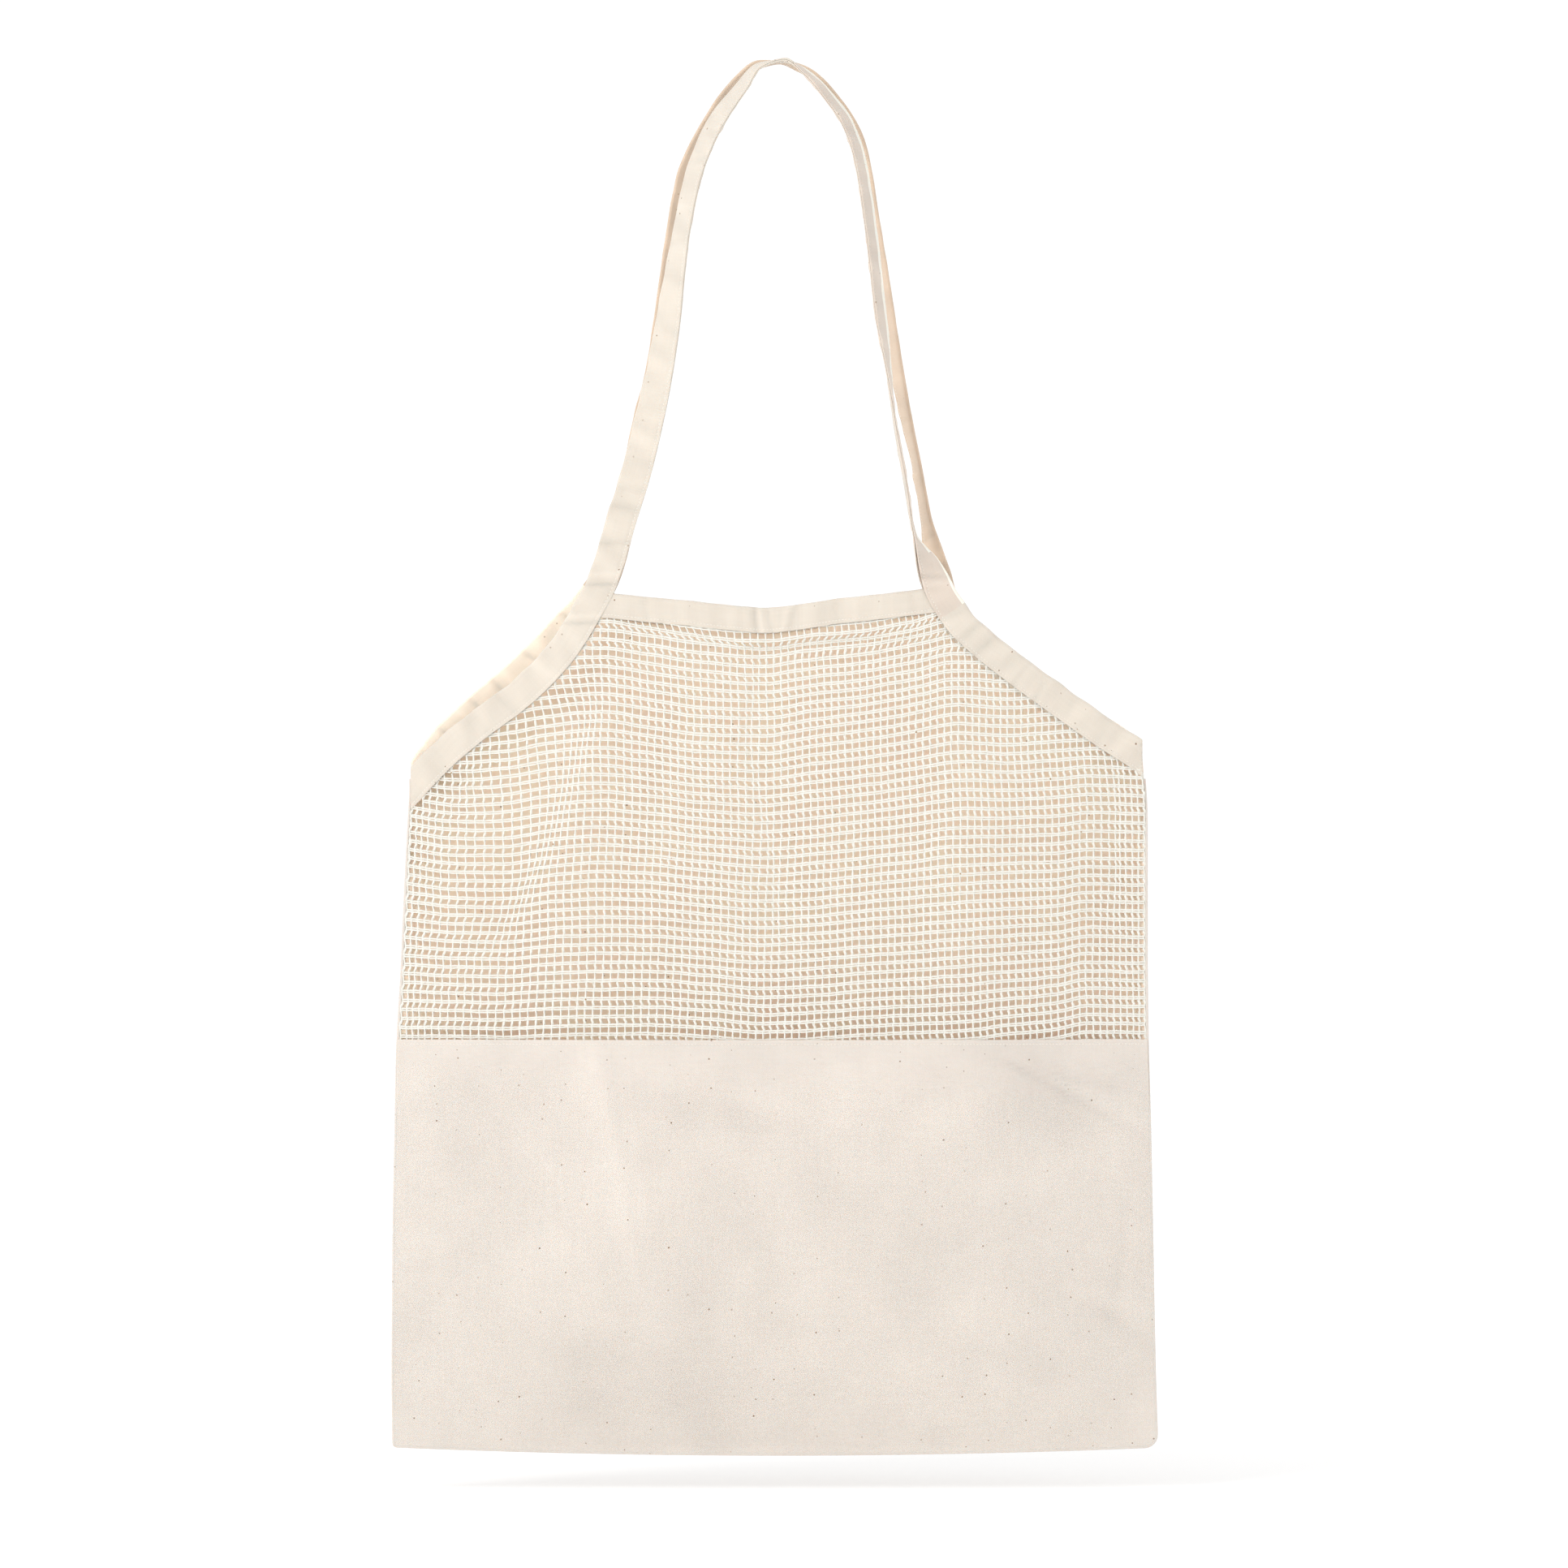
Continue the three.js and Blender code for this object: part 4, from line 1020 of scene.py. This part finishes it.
def sewn_strip(name, course, gap, width, seed, puckers, wave, creases, paints, painted=(0,) * 5):
    """A strip folded along one edge, and the stitches near its two lips, seen on both faces.

    course is its middle line and the ways along it, across it to the lips and out of its front.
    painted numbers the paint of the rear face, the fold, the front face's margin along the fold,
    the front face and the lips.
    """
    middle, _, across, through = course
    along = path_length(middle)
    count = len(middle)
    half = gap / 2 + strip_wall

    def relief(along, a):
        """Puckers at the stitch line that die out towards the fold, a shallow sewn groove, and the
        painted crease shade.
        """
        from_lip = width / 2 - a
        small = ripples(seed, along, 6 * mm, 5) * 0.09 * mm * np.exp(-from_lip / (6.0 * mm))
        broad = ripples(seed + 1, along + 0.5 * a, 15 * mm, 5) * puckers * mm
        groove = -0.24 * mm * np.exp(-(((from_lip - stitch_inset) / (0.6 * mm)) ** 2))
        total = small + broad + groove
        for place, lean, crease_width, height in creases:
            off = (along - place * mm - lean * a) / (crease_width * mm)
            total = total + height * mm * np.exp(-off * off)
        # The crease shade: painted shade in the valleys of the broad puckers and creases, painted
        # highlight on their ridges.
        creased = np.clip((total - groove - small) / mm, -1, 1)
        return np.maximum(total, 0.2 * mm - strip_wall), creased

    face = width / 2 - face_steps[face_steps < width - 2.2 * mm]
    rounded = 0.15 * mm * (face == face[0])
    fold = np.radians([-90, -60, -30, 0, 30, 60, 90])
    lip, deep = width / 2, -width / 2 + half
    profile = [
        *((a, less - half, -1) for a, less in zip(face, rounded)),
        *((-width / 2 + half * (1 - math.cos(b)), half * math.sin(b), 0) for b in fold),
        *((a, half - less, 1) for a, less in zip(face[::-1], rounded[::-1])),
        (lip, half - 0.3 * mm, 0), (lip, gap / 2, 0), (deep, gap / 2, 0),
        (deep, -gap / 2, 0), (lip, -gap / 2, 0), (lip, 0.3 * mm - half, 0),
    ]
    a, t = (np.stack([np.broadcast_to(row[k], count) for row in profile], 1) for k in (0, 1))
    raised, creased = relief(along[:, None], a)
    t = t + np.array([row[2] for row in profile]) * raised
    a = a + (wave * ripples(seed + 2, along, 16 * mm, 4))[:, None] * (0.5 - a / width) ** 2
    points = middle[:, None] + a[..., None] * across[:, None] + t[..., None] * through[:, None]
    run = np.hypot(np.diff(a, axis=1, append=a[:, :1]), np.diff(t, axis=1, append=t[:, :1]))
    girth = np.concatenate([np.zeros((count, 1)), np.cumsum(run, axis=1)], axis=1)
    stretch = np.repeat(range(5), (len(face), len(fold) - 1, 1, len(face) - 1, 7))
    painted = np.stack([np.broadcast_to(number, count)[:-1] for number in painted])
    strip = closed_piece(
        name, points.reshape(-1, 3), *skin(girth, along), paints,
        slots=np.append(painted[stretch].T.ravel(), [0, 0]), creased=creased, smooth_angle=55,
    )

    at = np.arange(2 * mm, along[-1] - 1 * mm, stitch_pitch)
    centre, way, over, out = (
        np.stack([np.interp(at, along, values[:, k]) for k in range(3)], -1) for values in course
    )
    over, out = unit(over), unit(out)
    sewn_at = width / 2 - stitch_inset
    off = np.interp(at, along, half) + relief(at, np.full_like(at, sewn_at))[0] - 0.08 * mm
    stitches = row_of_stitches(
        name + "_stitches",
        np.concatenate([centre + over * sewn_at + out * (side * off)[:, None] for side in (-1, 1)]),
        np.concatenate([way, way]), np.concatenate([-out, out]),
    )
    return strip, stitches, round(float(along[-1]), 3)


# The last number of each strip cotton is the strength of its painted shade bands.
strip_cotton = cotton_cloth("strip_cotton", (0.645, 0.585, 0.508), 0.08, 0.3, 0.20)
# How far the top and the lower edge of the hems lie off a smooth curve, in mm.
edge_x = (-84, -44, -9, -7, 30, 78)
edge_off = ((-1.8, -1.1, -2.4, -2.3, 1.7, 2.0), (-3.0, -1.7, -1.6, -1.5, 0.4, 0.3))


def mouth_hem(name, node, wall, caught, seed, creases):
    """The hem of one wall. It thins at its ends, where it runs into the handles."""
    ends = [shoulder_point(wall, hand, 0.0)[0] for hand in hand_sign]
    x = np.linspace(ends[0], ends[1], 150)
    edges = []
    for level, offs in zip((mouth_z, mouth_z - mouth_hem_height), edge_off):
        z = level - droop(x, np.full_like(x, level)) + np.interp(x / mm, edge_x, offs) * mm
        y = wall.facing * wall_depth(wall, x, np.minimum(z, mouth_z))
        edges.append(np.stack([x, y, z], -1))
    middle = (edges[0] + edges[1]) / 2
    across = unit(edges[1] - edges[0])
    along_way = unit(np.gradient(middle, axis=0))
    through = unit(np.cross(along_way, across))
    through *= np.sign(through[:, 1:2])
    inset = np.minimum(x - ends[0], ends[1] - x)
    thinner = min(1.3 * mm, caught - 0.1 * mm) * (1 - ease((inset - 5 * mm) / (7 * mm)))
    hem, stitches, length = sewn_strip(
        name, (middle, along_way, across, through), caught - thinner, mouth_hem_height, seed,
        0.10, 0.14 * mm, creases, [strip_cotton],
    )
    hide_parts(node)
    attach(hem, "root")


# place along the hem, lean, half width and height, in mm
front_hem_creases = (
    (22, 0.2, 2.4, -0.3), (41, 0.1, 2.6, 0.3), (62, -0.1, 2.6, -0.3), (73, 0.1, 2.0, 0.35),
    (77, 0.1, 1.0, -0.7), (80, 0.15, 1.1, 0.6), (84, 0.2, 1.3, -0.5), (92, -0.2, 1.6, 0.45),
    (96, -0.2, 1.4, -0.4), (118, 0.1, 2.4, -0.3), (139, -0.1, 2.6, 0.3), (156, 0.2, 2.2, -0.3),
)
mouth_hem("front_mouth_hem", "front_mouth_binding", front, front_caught, 21, front_hem_creases)
mouth_hem("back_mouth_hem", "back_mouth_binding", back, back_caught, 24, ((60, 0.2, 2.0, 0.3),))


# Handles: one long strip of cotton for each wall, folded with its raw edges inside. It clasps the
# wall's left shoulder, runs on as the handle over the peg, and comes down to clasp the right
# shoulder. One line of stitches closes it along the inner edge, and it ends in the side seams.
strap_gap = 0.12 * mm
strip_step = 1.2 * mm
shoulder_stops = (1.10, 0.98, 0.83, 0.64, 0.46, 0.30, 0.19, 0.10)


def wall_normal(wall, x, z):
    """The way out of a wall."""
    step = 1 * mm
    across = wall_depth(wall, x + step, z) - wall_depth(wall, x - step, z)
    up = wall_depth(wall, x, z + step) - wall_depth(wall, x, z - step)
    out = np.stack([-across / (2 * step), np.ones_like(x), -up / (2 * step)], -1)
    return unit(out) * np.array([1, wall.facing, 1])


def handle_strip(name, node, wall, caught, seed, paints, painted, creases):
    """The strip of one wall, cut off where it ends in the side seams."""
    left, right = (
        [(*shoulder_point(wall, hand, out), 1, 0, 1) for out in shoulder_stops]
        for hand in hand_sign
    )
    loop = [
        (across * handle_spread / 2, strap_solid / 2 - down * handle_drop, depth, turn, 0)
        for across, down, depth, turn in wall.handle
    ]
    rows = np.array(left + loop + right[::-1], float)
    row_along = summed(np.hypot(np.diff(rows[:, 0]), np.diff(rows[:, 1])))
    at = np.linspace(0, row_along[-1], int(row_along[-1] / strip_step))
    x, z, depth, turn, bound = (smooth_through(row_along, rows[:, k])(at) for k in range(5))
    held_z = np.minimum(z, mouth_z)
    middle = np.stack([x, wall.facing * wall_depth(wall, x, held_z) * depth, z], -1)
    along_way = unit(np.gradient(middle, axis=0))
    across = unit(np.cross(along_way, wall_normal(wall, x, held_z) * -wall.facing))
    through = unit(np.cross(across, along_way))
    angle = -wall.facing * np.radians(turn)[:, None]
    across = across * np.cos(angle) + through * np.sin(angle)
    through = unit(np.cross(across, along_way))
    over_hem = 1 - ease((z - mouth_z - 4 * mm) / (24 * mm))
    gap = strap_gap + (caught - strap_gap) * np.maximum(ease(bound), over_hem)
    from_side = half_width(x, z) - np.abs(x)
    gap = strap_gap + (gap - strap_gap) * ease((from_side - 0.5 * mm) / (5 * mm))
    strip, stitches, length = sewn_strip(
        name, (middle, along_way, across, through), gap, tape_width, seed, 0.30, 0.18 * mm,
        creases, paints, painted(x, turn, bound > 0.5),
    )
    for piece in (strip, stitches):
        pick_out(piece)
        bpy.ops.object.mode_set(mode="EDIT")
        for hand, sign in hand_sign.items():
            side = (sign * float(side_x(hand, mouth_z - shoulder_drop[hand])), 0, 0)
            bpy.ops.mesh.select_all(action="SELECT")
            bpy.ops.mesh.bisect(
                plane_co=side, plane_no=(sign, 0, 0), clear_outer=True, use_fill=True,
            )
        bpy.ops.object.mode_set(mode="OBJECT")
    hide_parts(node)
    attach(strip, "root")


# Painted shade on the front handle's right leg, which is turned out of the light, and a painted
# highlight along its fold.
shaded_strip_cotton = cotton_cloth("shaded_strip_cotton", (0.632, 0.550, 0.475), 0.08, 0.3, 0.20)
painted_highlight_fold_cotton = cotton_cloth("painted_highlight_fold_cotton", (0.83, 0.805, 0.715), 0.08, 0.3, 0.10)
# The back handle's inner face is painted a warm tan shade, and lighter and warmer where it binds
# the shoulders: painted warm light.
back_strip_painted_shade = cotton_cloth("back_strip_painted_shade", (0.62, 0.492, 0.380), 0.08, 0.3, 0.30)
back_binding_painted_light = cotton_cloth("back_binding_painted_light", (0.87, 0.76, 0.64), 0.08, 0.35, 0.22)
# place along the strip from its left end, lean, half width and height, in mm
front_strip_creases = (
    (62, 0.1, 2.2, -0.3), (78, 0.2, 2.0, -0.45), (104, 0.2, 2.6, 0.35), (133, 0.6, 1.1, -0.75),
    (137, 0.6, 1.6, 0.5), (155, 0.45, 1.1, -0.8), (160, 0.4, 1.8, 0.5), (177, 0.3, 1.8, -0.5),
    (195, 0.2, 2.0, -0.4), (205, 0.1, 2.2, -0.45), (222, 0.0, 2.4, 0.3), (247, 0.1, 2.6, -0.3),
    (286, 0.0, 2.8, -0.25), (330, 0.1, 2.6, -0.3), (348, 0.2, 2.4, 0.3), (372, 0.2, 2.0, -0.45),
    (390, 0.1, 1.8, 0.4), (612, 0.0, 2.4, -0.3), (655, 0.1, 2.6, 0.3), (697, -0.2, 1.6, -0.4),
    (719, -0.4, 1.2, -0.8), (723, -0.4, 1.6, 0.6), (741, -0.2, 2.0, -0.35), (752, -0.1, 1.8, -0.5),
    (762, -0.1, 1.9, -0.5), (773, 0.0, 2.2, 0.3), (785, 0.0, 2.0, -0.45), (797, 0.1, 2.0, -0.45),
    (815, 0.1, 2.4, -0.3), (838, 0.1, 2.4, 0.3),
)


# Paint numbers for the front handle: 1 is painted shade over the right leg, 2 a painted highlight
# on its fold and, where the leg is turned far, on the margin beside the fold.
def front_painted(x, turn, bound):
    painted_shade_leg = np.where((x > 8 * mm) & ~bound, 1, 0)
    margin = painted_shade_leg * np.where(turn > 60, 2, 1)
    return 0, 2 * painted_shade_leg, margin, painted_shade_leg, painted_shade_leg


# Paint numbers for the back handle: its inner face, fold and lips take painted warm shade (1), or
# painted warm light (2) where it binds the shoulders.
def back_painted(x, turn, bound):
    inner = np.where(bound, 2, 1)
    return 0, inner, inner, inner, inner


handle_strip(
    "front_handle", "front_handle_tape", front, front_caught, 31,
    [strip_cotton, shaded_strip_cotton, painted_highlight_fold_cotton], front_painted, front_strip_creases,
)
back_strip_creases = (
    (34, 0.1, 2.0, 0.5), (45, 0.1, 1.5, -0.8), (58, 0.2, 2.2, 0.5), (66, 0.2, 1.4, -0.7),
    (80, 0.1, 1.5, -0.9), (87, 0.1, 2.2, 0.6), (103, 0.3, 1.5, -0.9), (110, 0.2, 2.2, 0.5),
    (130, 0.3, 1.6, -0.8), (139, 0.3, 2.4, 0.4), (190, 0.1, 2.4, -0.4), (250, 0.1, 2.4, -0.4),
    (640, 0.1, 2.2, -0.5), (668, 0.1, 2.0, 0.5), (700, 0.2, 1.8, -0.6), (716, 0.2, 1.6, -0.7),
)
handle_strip(
    "back_handle", "back_handle_tape", back, back_caught, 34,
    [strip_cotton, back_strip_painted_shade, back_binding_painted_light], back_painted, back_strip_creases,
)
